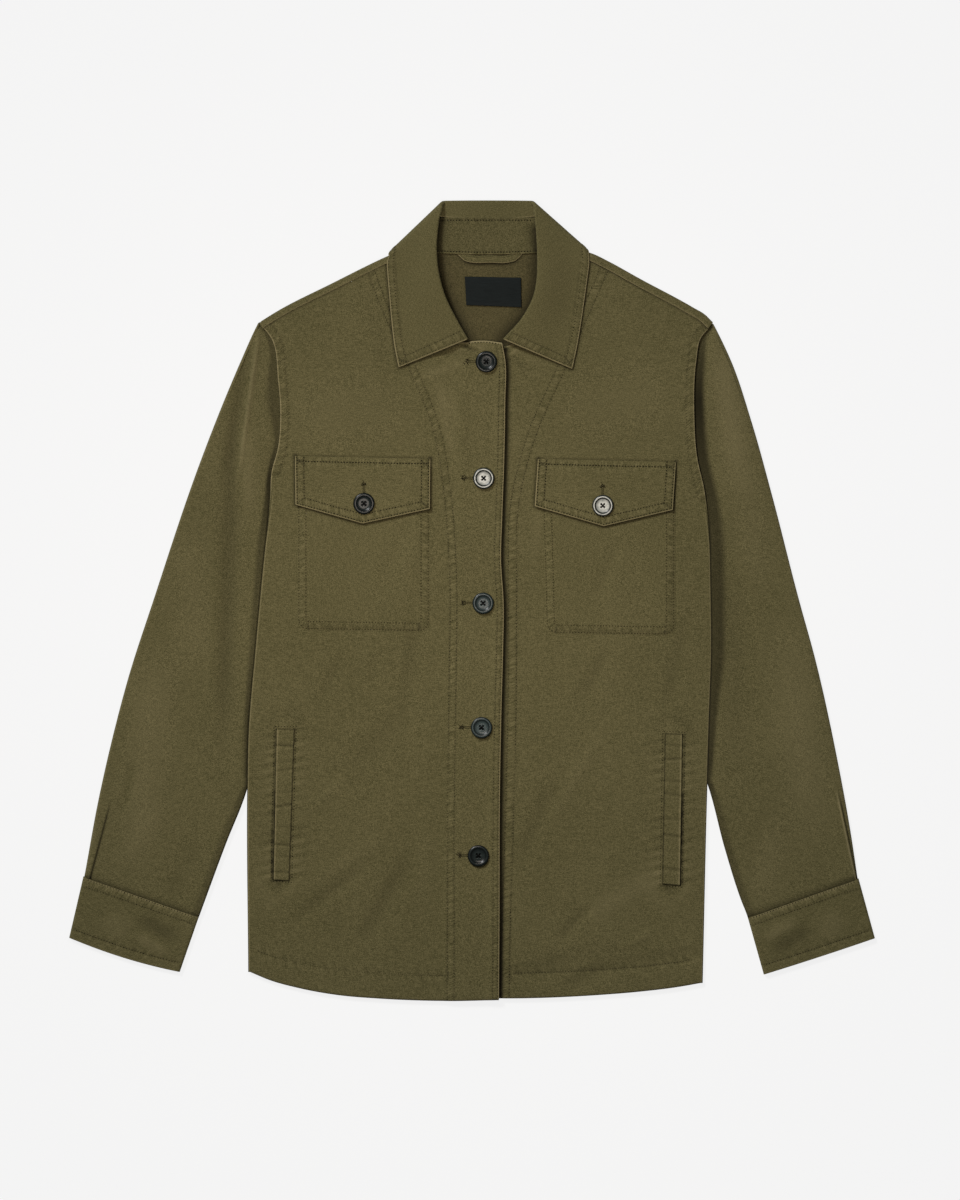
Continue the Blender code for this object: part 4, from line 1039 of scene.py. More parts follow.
def front_height(side, x, y):
    """Height of a front with its seams."""
    return front_top(side, x, y) + seam_relief(x, y, FRONT_SEAMS[side].values())[0]


print("seams:", {side: list(seams) for side, seams in FRONT_SEAMS.items()})

# %% [markdown]
# ## The sleeves
# A sleeve lies as a flat tube: floor side, a fold along the outer edge, upper side, and the seam along the
# inner edge. Its head bulges in one soft ridge away from the armhole and dips where it is sewn in, and a
# pleat above the cuff fades out upwards. The grid runs round the tube and down its length.

# %% Make the sleeves
SLEEVE_OUTER = outlines(
    right=(
        (-203.2, 263.3), (-206.6, 256.4), (-219.5, 227.5), (-239, 181), (-258.5, 130.5), (-302.5, 0.5),
        (-326, -72), (-340.5, -126.5), (-355, -190.5), (-368, -261), (-368.5, -263.6),
    ),
    left=(
        (229.4, 262.2), (232.6, 256.0), (246, 227.5), (265.5, 169.5), (285, 99.5), (310.5, 0.5),
        (325.5, -54), (347.5, -154), (360, -223), (366, -263), (366.4, -265.6),
    ),
)
SLEEVE_INNER_FREE = both(
    "x y",
    right=((-214.8, -183), (-233.5, -230.5), (-253.5, -284.5), (-259, -299.5), (-260, -302.1)),
    left=((224.8, -178), (240, -235.5), (255.5, -284.5), (261.5, -300), (262.3, -302.6)),
)
SLEEVE_FOLDS = both(
    FOLD_COLUMNS,
    right=(
        (-203, 250, -222, 116, 2.6, 1.5), (-214, 238, -233, 120, 5.5, -1.3),
        (-227, 150, -236, -115, 8, -1.8), (-300, -60, -318, -220, 22, 0.8),
        (-214, 160, -212, 90, 7, 0.7), (-270, 60, -262, -60, 20, 0.5),
        (-300, -200, -330, -250, 12, 0.5), (-262, -230, -288, -285, 10, -0.5),
        (-322, -158, -331, -197, 4, -0.7),
    ),
    left=(
        (236, 240, 254, 120, 13, 1.2), (246, 20, 256, -150, 13, -0.8), (300, -40, 322, -210, 22, 0.8),
        (262, 120, 270, 20, 16, 0.5), (290, -210, 272, -280, 14, 0.5),
    ),
)
SLEEVE_START = 0.0015
SLEEVE_TUCK = 2.6
SLEEVE_TIP = 0.03
SLEEVE_LEAVES_BODY = 5.0
SLEEVE_BODY_GAP = (-2.0, -0.4, -0.3, -0.3)
SLEEVE_NARROW = 5.0
SLEEVE_FOLD_WEAR_AND_SHADE = 0.14
SLEEVE_FOLD_SHARE = 0.45
SLEEVE_EDGE = 8.0
SLEEVE_LEAN = {"right": np.radians(-16.0), "left": np.radians(15.0)}
ARMHOLE_DIP = {"right": (2.2, 9.0), "left": (2.5, 9.0)}
SLEEVE_SHADE = both(
    "y reach depth",
    right=(
        (-300, 9, 0.3), (-195, 9, 0.35), (-178, 5, 0.65), (-113, 6, 0.6), (-37, 8, 0.42), (57, 10, 0.5),
        (115, 6, 0.85), (152, 6, 0.5), (190, 18, 0.4), (228, 9, 0.45), (262, 5, 0.45),
    ),
    left=(
        (-300, 9, 0.3), (-195, 9, 0.35), (-173, 5.5, 0.75), (-113, 10, 0.65), (-56, 17, 0.62),
        (57, 18, 0.62), (115, 14, 0.75), (152, 15, 0.85), (190, 13, 0.95), (228, 12, 0.72),
        (262, 6, 0.45),
    ),
)
PLEAT = both(
    "x y",
    right=((-339.5, -178), (-361.7, -262)),
    left=((343.2, -165), (364.2, -263)),
)
PLEAT_HEIGHT = {"right": (0.9, 0.0), "left": (0.0, 1.5)}
PLEAT_LIGHT_AND_SHADE = {"right": (0.0, -0.85, 1.0, 0.2), "left": (0.9, -1.0, 0.8, 1.1)}
PLEAT_RUN = 34.0
PLEAT_STEP = 1.3
PLEAT_EDGE = 1.2
PLEAT_LIGHT = 0.7
PLEAT_DEEPENS = 3.5
SEWN_RUN = 60.0
PRESS_START = 7.0
PRESS_RUN = 6.0
PRESS_LEVEL = 1.6
PRESS_SHARE = 0.39
CUFF_SHADE = 0.4
CUFF_SHADE_WIDTH = 1.2
FOLD_PALE = 0.1
SEAM_SHADE = 0.5
SLEEVE_ROWS = np.linspace(0, 1, 244)
SLEEVE_COLUMNS = np.concatenate((np.linspace(0, 0.16, 24)[:-1], np.linspace(0.16, 1, 46)))
FLOOR_COLUMNS = np.linspace(1, 0, 12)
EDGE_TURNS = np.radians(np.linspace(-75, 75, 9))


def sleeve_inner_edge(side):
    """Sleeve's inner edge: beside the armhole and the body's side, then free down to the cuff."""
    body = BODY_EDGE[side]
    every = np.linspace(0, 1, 400)
    every_y = body(every)[:, 1]
    free = points_of(SLEEVE_INNER_FREE[side])
    underarm = every[np.argmin(np.abs(every_y - UNDERARM_Y[side]))]
    leaves = every[np.argmin(np.abs(every_y - free[0, 1] - SLEEVE_LEAVES_BODY))]
    along = np.linspace(SLEEVE_START, leaves, 30)
    gap = np.interp(along, (SLEEVE_START, SLEEVE_TIP, underarm, leaves), SLEEVE_BODY_GAP)
    by_body = body(along) + normals(body, along, (SIDE_SIGN[side], 0.0)) * gap[:, None]
    joined = np.concatenate((by_body, free))
    return outline({"x": joined[:, 0], "y": joined[:, 1]})


def pleat_step(side, x, y):
    """How far beyond the pleat's folded edge a place is, and the share to which the pleat is open."""
    along, across = beside_segment(x, y, *points_of(PLEAT[side]).ravel())
    return across * SIDE_SIGN[side], ease(along)


def pleat_look(side, x, y):
    """Height and painted light and shade of the pleat.

    One side of its fold lies over the other, lit or in its shadow.
    """
    beyond, opened = pleat_step(side, x, y)
    outer, inner = PLEAT_HEIGHT[side]
    light, dark, spread, out = PLEAT_LIGHT_AND_SHADE[side]
    rise = inner * ease(beyond / PLEAT_STEP) * ease((PLEAT_RUN - beyond) / PLEAT_RUN)
    rise = rise + outer * ease(-beyond / PLEAT_STEP)
    wear_and_shade = light * bell(beyond - PLEAT_LIGHT, PLEAT_LIGHT) + dark * bell(beyond + out, spread)
    return rise * opened, wear_and_shade * ease(PLEAT_DEEPENS * opened)


def sleeve_shade(side, inner_y, from_seam):
    """Shade on a sleeve beside the body, as deep and as far as its table says at each height."""
    rows = SLEEVE_SHADE[side]
    reach = np.interp(inner_y, rows["y"], rows["reach"])
    depth = np.interp(inner_y, rows["y"], rows["depth"])
    return depth * ease(2.0 * (1.0 - from_seam / reach))


def make_sleeve(side):
    """Columns round the tube, each at an inset from the outer edge and a height, for all rows at once.

    They run over the floor side from the seam, round the outer fold, over the upper side and back to the
    seam. At its end the tube is pressed together, so that it goes into the cuff.
    """
    outer = SLEEVE_OUTER[side](SLEEVE_ROWS)[:, None]
    inner = sleeve_inner_edge(side)(SLEEVE_ROWS)[:, None]
    inner_y = inner[..., 1]
    width = np.linalg.norm(inner - outer, axis=2)
    narrow = np.minimum(width / SLEEVE_NARROW, 1.0)
    curl = side_curl(side, inner_y)
    reach, drop = edge_roll(ROLL_STEPS, curl)
    seam_start = width - reach[:, -1:] * narrow
    fold = np.minimum(FOLD_RADIUS, SLEEVE_FOLD_SHARE * width)
    rolled = seam_start + reach * narrow
    floor_side = mix(fold, seam_start, FLOOR_COLUMNS)
    turned = fold * (1 - np.cos(EDGE_TURNS))
    upper_side = mix(fold, seam_start, SLEEVE_COLUMNS)
    inset = np.concatenate((rolled[:, ::-1], floor_side, turned, upper_side, rolled), axis=1)
    xy = outer + (inner - outer) * (inset / width)[..., None]
    x, y = xy[..., 0], xy[..., 1]

    steps = len(ROLL_STEPS)
    counts = (steps, len(FLOOR_COLUMNS), len(EDGE_TURNS), len(SLEEVE_COLUMNS), steps)
    upper = np.repeat((0.0, 0.0, 0.0, 1.0, 1.0), counts)
    pleated = np.repeat((0.0, 0.0, 1.0, 1.0, 0.0), counts)
    on_fold = slice(counts[0] + counts[1], sum(counts[:3]))
    fade = ease((inset - fold) / PLEAT_EDGE) * ease((seam_start - inset) / SLEEVE_EDGE)
    folds = soft_folds(x, y, SLEEVE_FOLDS[side])
    rise, pleat_light_and_shade = pleat_look(side, x, y)
    dip_depth, dip_width = ARMHOLE_DIP[side]
    sewn_in = ease((inner_y - UNDERARM_Y[side] + SEWN_RUN) / SEWN_RUN) * narrow
    dip = dip_depth * sewn_in * bell(width - inset, dip_width)
    height = upper * (FRONT_HEIGHT + (folds + rise) * fade - dip)
    height[:, :steps] += drop[:, ::-1]
    height[:, on_fold] += FOLD_RADIUS * (1 + np.sin(EDGE_TURNS))
    height[:, -steps:] -= drop

    passed = passed_along((outer + inner)[:, 0] / 2)[:, None]
    to_end = passed[-1] - passed
    pressed = ease((PRESS_START - to_end) / PRESS_RUN)
    height = mix(height, PRESS_LEVEL + PRESS_SHARE * height, pressed)
    # Painted shade: a band beside the body, a line where the sleeve goes into the cuff, the seam's groove.
    # Fold crests go pale with wear and painted light, troughs get painted shade; the outer fold wears
    # pale.
    by_body = sleeve_shade(side, inner_y, width - inset)
    by_cuff = CUFF_SHADE * bell(to_end - SLEEVE_TUCK, CUFF_SHADE_WIDTH)
    wear_and_shade = upper * (SLEEVE_FOLD_WEAR_AND_SHADE * folds * fade - by_body) + pleated * pleat_light_and_shade - by_cuff
    wear_and_shade[:, on_fold] += FOLD_PALE
    wear_and_shade[:, -steps:] -= SEAM_SHADE * curl * np.arange(1, steps + 1) / steps
    points = np.dstack((xy, height))
    cos, sin = np.cos(SLEEVE_LEAN[side]), np.sin(SLEEVE_LEAN[side])
    cloth = points @ np.array(((cos, sin, 0), (-sin, cos, 0), (0, 0, 1)))
    look = {"wear_and_shade": wear_and_shade, "cloth": cloth}
    sheet(f"{side}_sleeve_cloth", f"sleeve_{side}", points, CLOTH, look)


for side in SIDES:
    make_sleeve(side)

# %% [markdown]
# ## The cuffs
# A cuff is a doubled band, buttoned and pressed flat, so it is a ring of points pulled into a flat tube.
# Its upper side has two rows of stitching by the sleeve and one over the lower edge, and a soft dent.

# %% Make the cuffs
CUFF_CORNERS = both(
    "x y",
    right=((-369.0, -261.8), (-259.4, -300.3), (-277.5, -352.5), (-382.5, -320)),
    left=((367.0, -263.8), (261.8, -300.9), (277.0, -355.0), (382.5, -320.5)),
)
CUFF_BOW = {"right": 3.0, "left": 0.5}
CUFF_ROLL = 2.5
CUFF_LENGTH = 56.0
CUFF_ROWS = graded(CUFF_LENGTH, 1.7)
CUFF_COLUMNS = np.linspace(0, 1, 62)
CUFF_STITCHES = (1.6, 8.0, CUFF_LENGTH - 8.5)
CUFF_DOUBLE_ROW = 4.8
CUFF_EDGE = 6.0
CUFF_UNDERSIDE_WEAR = 0.3
CUFF_HEM_WEAR = 0.4
CUFF_DENT_LIGHT_AND_SHADE = 0.25
CUFF_LIGHT = (0.7, 1.3, 0.6)
CUFF_CRACK_SHADE = (1.2, 0.1, 0.6)
CUFF_LAYER = 900.0
CUFF_DENT = both(
    FOLD_COLUMNS,
    right=(
        (-313, -304, -284, -321, 8, -1.1), (-316, -318, -290, -334, 6, 0.6),
        (-345, -300, -330, -318, 12, 0.4),
    ),
    left=(
        (290, -332, 320, -314, 8, -1.1), (280, -320, 306, -306, 6, 0.6),
        (345, -296, 336, -320, 12, 0.4),
    ),
)


def four_corners(corners, down, across):
    """Point of a four-cornered patch by its shares down and across."""
    first, second, third, fourth = points_of(corners)
    top = mix(first, second, across[..., None])
    low = mix(fourth, third, across[..., None])
    return mix(top, low, down[..., None])


def cuff_place(side, down, across):
    """Place on a cuff by its shares down and across, its lower edge bowed."""
    xy = four_corners(CUFF_CORNERS[side], down, across)
    xy[..., 1] -= CUFF_BOW[side] * 4.0 * across * (1.0 - across) * down ** 2
    return xy


def cuff_relief(side, xy, depth, along):
    """Height and look of a cuff's upper side: folded edges, its double row, its lower row and a dent."""
    top_height = edge_round(depth)[0]
    # Painted shade in the crack where the sleeve goes in, with a pale worn line below it; the rows and the
    # dent add painted light and shade.
    top_wear_and_shade = streak(depth, *CUFF_LIGHT) - fading(depth, *CUFF_CRACK_SHADE)
    low_height, low_wear = edge_round(CUFF_LENGTH - depth)
    top_band, hem_band = BANDS["cuff_top"], BANDS["cuff_hem"]
    band_height, band_wear_and_shade, band_pucker, drift = band_look(depth - CUFF_DOUBLE_ROW, along, top_band)
    hem_height, hem_wear_and_shade, hem_pucker, _ = band_look(depth - CUFF_STITCHES[2], along, hem_band)
    dent = soft_folds(xy[..., 0], xy[..., 1], CUFF_DENT[side])
    return top_height + low_height + band_height + hem_height + dent, {
        "wear_and_shade": top_wear_and_shade + CUFF_HEM_WEAR * low_wear + band_wear_and_shade + hem_wear_and_shade + CUFF_DENT_LIGHT_AND_SHADE * dent,
        "pucker": band_pucker + hem_pucker,
        "seam": seam_place(drift, depth, CUFF_LAYER),
    }


def make_cuff(side):
    """Shares across run over the floor side, round the outer fold, over the upper side and round again."""
    first, second = points_of(CUFF_CORNERS[side])[:2]
    width = np.linalg.norm(first - second)
    turned = CUFF_ROLL / width * (1 - np.cos(EDGE_TURNS))
    flat = mix(CUFF_ROLL / width, 1 - CUFF_ROLL / width, CUFF_COLUMNS)
    across = np.concatenate((flat[::-1], turned, flat, 1 - turned[::-1]))
    rise = CUFF_ROLL * (1 + np.sin(EDGE_TURNS))
    level = np.concatenate((0 * flat, rise, 0 * flat + 2 * CUFF_ROLL, rise[::-1]))
    upper = np.repeat((0.0, 0.0, 1.0, 0.0), (len(flat), len(rise), len(flat), len(rise)))
    upper = upper * ease(across * width / CUFF_EDGE) * ease((1 - across) * width / CUFF_EDGE)
    down, across = np.meshgrid(CUFF_ROWS, across, indexing="ij")
    xy = cuff_place(side, down, across)
    height, look = cuff_relief(side, xy, down * CUFF_LENGTH, across * width)
    points = np.dstack((xy, level + height * upper))
    look["wear_and_shade"] *= np.maximum(upper, CUFF_UNDERSIDE_WEAR)
    look["pucker"] *= upper
    look["cloth"] = np.dstack((across * width, down * CUFF_LENGTH, level + 0 * across))
    sheet(f"{side}_cuff_cloth", f"cuff_{side}", points, DOUBLE, look, ring=True)


for side in SIDES:
    make_cuff(side)

# %% [markdown]
# ## The collar
# The fall folds over at the roll. In front it lies as two leaves on the fronts, at each shoulder it
# creases round to the back, and across the back neck its outer layer lies under the back on the floor. It
# is a profile carried along a path: at each place there is a middle of the roll, an edge and the way that
# the outer layer faces. The stand is a flat crescent between the neck seam and the fall.

# %% Make the collar
LAYER = DOUBLE + 4 * SEAM
LEAF_GAP = 0.6
CREASE_RADIUS = 3.2
CREASE_FLAP = 10.0
CREASE_SLANT = 4.3
COLLAR_TOP_Y = 380.0
STAND_TOP_Y = 361.8
CREASE = both(
    "x y",
    right=((-29.4, 378.4), (-78, 332)),
    left=((59.4, 378.4), (109.5, 334)),
)
CREASE_TURNS = np.radians(np.linspace(75, -75, 19))
LEAF_SECTIONS = 84
LEAF_SPACING = 1.5
BACK_ROLL_X = np.linspace(-28.5, 58.5, 44)
BACK_FALL_EDGE_X = np.linspace(-68, 99.5, 44)
FLAP_SHARES = np.array((0.0, 0.04, 0.09, 0.16, 0.3, 0.5, 0.75, 1.0))
ROLL_TURNS = np.radians(np.linspace(20, 160, 8))
FALL_WIDTH = 68.0
FALL_SHARES = graded(FALL_WIDTH, 1.7)
FALL_SETTLES = 0.85
LEAF_STITCHES = (1.7, 8.3)
DOUBLE_ROW_INSET = 5.0
INNER_FLAP = 14.0
INNER_FLAP_WEAR = 0.6
ROLL_LENGTH = 5.0
STAND_LOW_Y = 328.7
STAND_LOW_X = (-36.0, 63.0)
STAND_TOP_X = (-33.5, 61.0)
STAND_LENGTH = 33.0
STAND_MIDDLE_X = 14.0
STAND_BOW = 0.0006
STAND_LAP = 0.25
STAND_LAP_RUN = 1.6
STAND_OVER_FALL = 1.8
STAND_ROWS_IN = (0.6, 2.0)
STAND_SHADE = (0.8, 7.0)
STAND_SWELL = 0.5
STAND_SWELL_WIDTH = 4.0
STAND_EDGE_WEAR = 0.4
STAND_PAINTED_SHADE = 0.12
END_LAYER, EDGE_LAYER, STAND_LAYER = 700.0, 800.0, 600.0


def crease_sections(side):
    """Sections round one shoulder's crease: it turns at the roll and at the edge, from up to down."""
    roll_corner, edge_corner = points_of(CREASE[side])
    along = np.append(unit(roll_corner - edge_corner), 0.0)
    out = np.array((-along[1], along[0], 0.0)) * np.sign(along[0])
    edge_radius = (FRONT_HEIGHT + LIFT + LEAF_GAP) / 2
    roll_radius = CREASE_RADIUS + LAYER / 2 + DOUBLE / 2
    roll_centre = np.append(roll_corner, roll_radius) - out * roll_radius
    edge_centre = np.append(edge_corner, edge_radius + DOUBLE / 2) - out * (edge_radius + DOUBLE / 2)
    turn = CREASE_TURNS[:, None]
    facing = np.cos(turn) * out + np.sin(turn) * UP
    slant = along * CREASE_SLANT * np.maximum(np.sin(turn), 0.0)
    count = len(CREASE_TURNS)
    middle = roll_centre + CREASE_RADIUS * facing - slant
    edge = edge_centre + edge_radius * facing - slant
    return middle, edge, facing, np.full(count, CREASE_FLAP), np.zeros(count)


def leaf_sections(side):
    """Sections of one leaf, from its front end up to the crease."""
    rows = LEAF_ROWS[side]
    last = len(rows["roll_x"]) - 1
    steps = last * graded(LEAF_SECTIONS * LEAF_SPACING, LEAF_SPACING)
    place = {name: smooth(np.arange(last + 1), values)(steps) for name, values in rows.items()}
    middle = np.column_stack((place["roll_x"], place["roll_y"], place["roll_z"]))
    edge_z = front_top(side, place["edge_x"], place["edge_y"]) + LEAF_GAP + DOUBLE / 2
    edge = np.column_stack((place["edge_x"], place["edge_y"], edge_z))
    return middle, edge, np.tile(UP, (len(steps), 1)), place["flap"], place["sink"]


def back_sections():
    """Sections of the fall across the back neck, where its outer layer lies on the floor."""
    count = len(BACK_ROLL_X)
    roll_y = COLLAR_TOP_Y - (LAYER + DOUBLE) / 2
    middle = np.column_stack((BACK_ROLL_X, np.full(count, roll_y), np.full(count, (LAYER + DOUBLE) / 2)))
    edge = np.column_stack((BACK_FALL_EDGE_X, fall_edge_y(BACK_FALL_EDGE_X), np.full(count, DOUBLE / 2)))
    facing = np.tile(-UP, (count, 1))
    return middle, edge, facing, np.full(count, roll_y - STAND_TOP_Y - SEAM), np.zeros(count)


def fall_points(middle, edge, facing, flap, sink):
    """Inner flap, the turn over the roll and the outer layer down to its edge, for all sections."""
    away = middle - edge
    away = unit(away - facing * np.sum(away * facing, axis=1, keepdims=True))
    inner_roll = middle - facing * LAYER / 2
    outer_roll = middle + facing * LAYER / 2
    flap_end = inner_roll - away * flap[:, None] - sink[:, None] * UP
    inner = mix(flap_end[:, None], inner_roll[:, None], FLAP_SHARES[None, :, None])
    turn = ROLL_TURNS[None, :, None]
    fold = middle[:, None] + LAYER / 2 * (np.sin(turn) * away[:, None] - np.cos(turn) * facing[:, None])
    outer = mix(outer_roll[:, None], edge[:, None], FALL_SHARES[None, :, None])
    outer[..., 2] = mix(outer_roll[:, None, 2], edge[:, None, 2], ease(FALL_SHARES / FALL_SETTLES)[None])
    return inner, fold, outer


def leaf_relief(outer, from_front):
    """Height and look of the outer layer, by the distance from its edge and from the leaf's front end."""
    width = np.linalg.norm(outer[:, -1] - outer[:, 0], axis=1)[:, None]
    inset = width * (1.0 - FALL_SHARES[None])
    along = passed_along(outer[:, -1])[:, None] + 0.0 * inset
    front = from_front + 0.0 * inset
    edge = band_look(inset - DOUBLE_ROW_INSET, along, BANDS["collar_leaf"])
    end = band_look(front - DOUBLE_ROW_INSET, inset, BANDS["collar_leaf"])
    edge_height, edge_wear = edge_round(np.minimum(inset, front))
    by_end = (end[2] > edge[2])[..., None]
    place = np.where(by_end, seam_place(end[3], front, END_LAYER), seam_place(edge[3], inset, EDGE_LAYER))
    look = {"wear_and_shade": edge_wear + edge[1] + end[1], "pucker": np.maximum(edge[2], end[2]), "seam": place}
    return edge_height + edge[0] + end[0], look


def make_collar_fall():
    """The sections of both leaves, both creases and the back, in one sheet right round the neck."""
    halves = {}
    for side in SIDES:
        pairs = zip(leaf_sections(side), crease_sections(side))
        halves[side] = [np.concatenate(pair) for pair in pairs]
    backwards = [values[::-1] for values in halves["left"]]
    sections = [np.concatenate(parts) for parts in zip(halves["right"], back_sections(), backwards)]
    facing = sections[2]
    inner, fold, outer = fall_points(*sections)
    passed = passed_along(outer.mean(axis=1))
    from_front = np.minimum(passed, passed[-1] - passed)[:, None]
    height, look = leaf_relief(outer, from_front)
    outer = outer + facing[:, None] * height[..., None]
    points = np.concatenate((inner, fold, outer), axis=1)
    before = inner.shape[1] + fold.shape[1]
    for name, part in look.items():
        look[name] = np.concatenate((np.repeat(part[:, :1] * 0.0, before, axis=1), part), axis=1)
    look["wear_and_shade"][:, : inner.shape[1]] += INNER_FLAP_WEAR * edge_round(FLAP_SHARES * INNER_FLAP)[1]
    down = np.concatenate((
        INNER_FLAP * (FLAP_SHARES - 1.0) - ROLL_LENGTH,
        np.linspace(0.5 - ROLL_LENGTH, -0.5, len(ROLL_TURNS)),
        FALL_WIDTH * FALL_SHARES,
    ))
    along, down = np.meshgrid(passed, down, indexing="ij")
    look["cloth"] = np.dstack((along, down, 0 * along))
    sheet("collar_fall_cloth", "collar_fall", points, DOUBLE,
          look, both_ways=True)
    return outer, facing, passed


def stand_low_y(x):
    """Lower edge of the stand, a shallow bow over the neck seam."""
    return STAND_LOW_Y + STAND_BOW * (x - STAND_MIDDLE_X) ** 2


def make_collar_stand():
    """Crescent from just under the neck seam to a lap over the end of the fall's inner layer."""
    share = np.linspace(0, 1, 90)
    seam_x = mix(*STAND_LOW_X, share)
    low = np.column_stack((seam_x, stand_low_y(seam_x)))
    top = np.column_stack((mix(*STAND_TOP_X, share), np.full(len(share), STAND_TOP_Y + STAND_OVER_FALL)))
    xy = mix(low[None], top[None], graded(STAND_LENGTH, 1.3)[:, None, None])
    x, y = xy[..., 0], xy[..., 1]
    over_seam = y - low[None, :, 1]
    under_fall = y - STAND_TOP_Y
    top_in, low_in = STAND_ROWS_IN
    top_height, top_wear_and_shade, top_pucker, drift = band_look(under_fall + top_in, x, BANDS["collar_stand"])
    low_height, low_wear, low_pucker, _ = band_look(over_seam - low_in, x, BANDS["collar_stand"])
    edge_height, edge_wear = edge_round(over_seam)
    lap = STAND_LAP * ease((under_fall + STAND_LAP_RUN) / STAND_LAP_RUN)
    swell = STAND_SWELL * bell(over_seam, STAND_SWELL_WIDTH)
    level = DOUBLE / 2 + LAYER + top_height + low_height + edge_height + swell + lap
    # Painted shade over all the stand and beside the leaves' rolls, added to the rows' painted shade; the
    # edge over the seam is worn pale.
    wear_and_shade = top_wear_and_shade + low_wear + STAND_EDGE_WEAR * edge_wear - STAND_PAINTED_SHADE
    wear_and_shade += contact_shade(x, y, LEAF_ROLLS, *STAND_SHADE)
    pucker = top_pucker + low_pucker
    look = {"wear_and_shade": wear_and_shade, "pucker": pucker, "seam": seam_place(drift, y, STAND_LAYER)}
    sheet("collar_stand_cloth", "collar_stand", np.dstack((xy, level)), DOUBLE, look,
          both_ways=True)


leaf_grid, leaf_facing, leaf_passed = make_collar_fall()
make_collar_stand()
LEAF_COUNT = len(leaf_sections("right")[0])

# %% [markdown]
# ## Chest pockets, flaps and welts
# These lie on the fronts, so each is a four-cornered patch whose heights are the front's own, moved out.
# The pockets have rounded lower corners, the flaps a point, and each welt is a raised strip with the
# pocket's opening along one side. Their edges are folded and worn pale.

# %% Make the pockets, flaps and welts
POCKET_CORNERS = both(
    "x y",
    right=((-166, 123), (-40, 122), (-40, -30), (-166, -28)),
    left=((66, 122), (193, 120), (193, -33.5), (70, -31.3)),
)
POCKET_CORNER_RADIUS = 10.0
POCKET_CORNER_TURN = np.radians(np.linspace(0, 90, 9))
FLAP_CORNERS = both(
    "x y",
    right=((-168, 137.2), (-39.5, 134.7), (-40, 87), (-167.5, 91)),
    left=((62.5, 134.5), (193.5, 131.5), (190.5, 86), (59.5, 89.5)),
)
FLAP_POINT_Y = {"right": 73.0, "left": 70.5}
FLAP_RAMP = 10.0
WELT_CORNERS = both(
    "x y",
    right=((-186, -121.5), (-168.5, -121.5), (-173.5, -266), (-189, -265)),
    left=((183, -126), (200, -126.5), (198, -270.5), (180.5, -269)),
)
WELT_LENGTH = 144.0
WELT_CREASES = both(
    "depth slope strength",
    right=(
        (16, 1.0, 1.0), (31, 0.5, 0.4), (39, -3.0, 0.5), (60, -1.0, 0.35), (73, -3.5, 1.0),
        (93, -1.5, 0.4), (110, 0.6, 0.9), (121, 0.4, 0.4), (136, -0.5, 0.7),
    ),
    left=(
        (11, 0.6, 0.5), (24, -1.2, 0.9), (45, 0.5, 0.5), (58, 2.5, 0.8), (81, -0.6, 0.5),
        (97, 1.5, 0.9), (112, -0.8, 0.4), (129, 0.8, 0.8),
    ),
)
PATCH_STITCHES = (1.7, 8.4)
FLAP_TOP_STITCH = 5.0
FLAP_LENGTH = 50.0
FLAP_WALL = 0.9
FLAP_CURL = 1.1
FLAP_CURL_PLACE = 6.0
FLAP_CURL_WIDTH = 14.0
FLAP_TOP_WEAR = 0.4
FLAP_TOP_RUN = 3.0
SEWN_WALL = 0.5
POCKET_SEWN_DOWN = 1.45
POCKET_SEWN_WIDTH = 4.0
WELT_RISE = 0.6 * CLOTH
WELT_CREASE_WIDTH = 1.1
WELT_CREASE_ECHO = (0.25, 2.6, 1.3)
WELT_CREASE_DEPTH = 0.45
WELT_GAP_SHADOW = (0.6, 1.1)
WELT_GAP_SHADOW_START = 0.35
WELT_GAP_SHADOW_RUN = 0.2
WELT_OPENING_SHADOW = (0.5, 0.6)
WELT_FRAME_SHADE = (0.7, 0.5, 0.7)
WELT_LIGHT = (0.8, 1.6, 0.5)
EDGE_APART = 300.0


def border(xy):
    """Sides and lower edge of a patch's grid as one line."""
    return np.concatenate((xy[:-1, 0], xy[-1], xy[-2::-1, -1]))


def patch_look(xy, band):
    """Height, look and distance from the edge of a patch with a double row round its sides and foot."""
    fields = [beside(line, xy[..., 0], xy[..., 1]) for line in (xy[:, 0], xy[-1], xy[:, -1])]
    nearest = np.argmin(np.abs([across for _, across in fields]), axis=0)
    distance = np.abs(np.choose(nearest, [across for _, across in fields]))
    along = np.choose(nearest, [length + EDGE_APART * number for number, (length, _) in enumerate(fields)])
    height, wear_and_shade, pucker, drift = band_look(distance - DOUBLE_ROW_INSET, along, band)
    place = seam_place(drift, distance, LAYER_STEP * band["seed"])
    return height, {"wear_and_shade": wear_and_shade, "pucker": pucker, "seam": place}, distance


def flap_height(side, x, y):
    """Height of a flap's outer face: sewn to the front along its top, lying on the pocket below."""
    corners = FLAP_CORNERS[side]
    top_y = np.interp(x, corners["x"][:2], corners["y"][:2])
    over_pocket = (CLOTH + SEAM) * ease((top_y - y) / FLAP_RAMP)
    curl = FLAP_CURL * bell(y - FLAP_POINT_Y[side] - FLAP_CURL_PLACE, FLAP_CURL_WIDTH)
    return front_top(side, x, y) + SEAM + over_pocket + CLOTH + curl


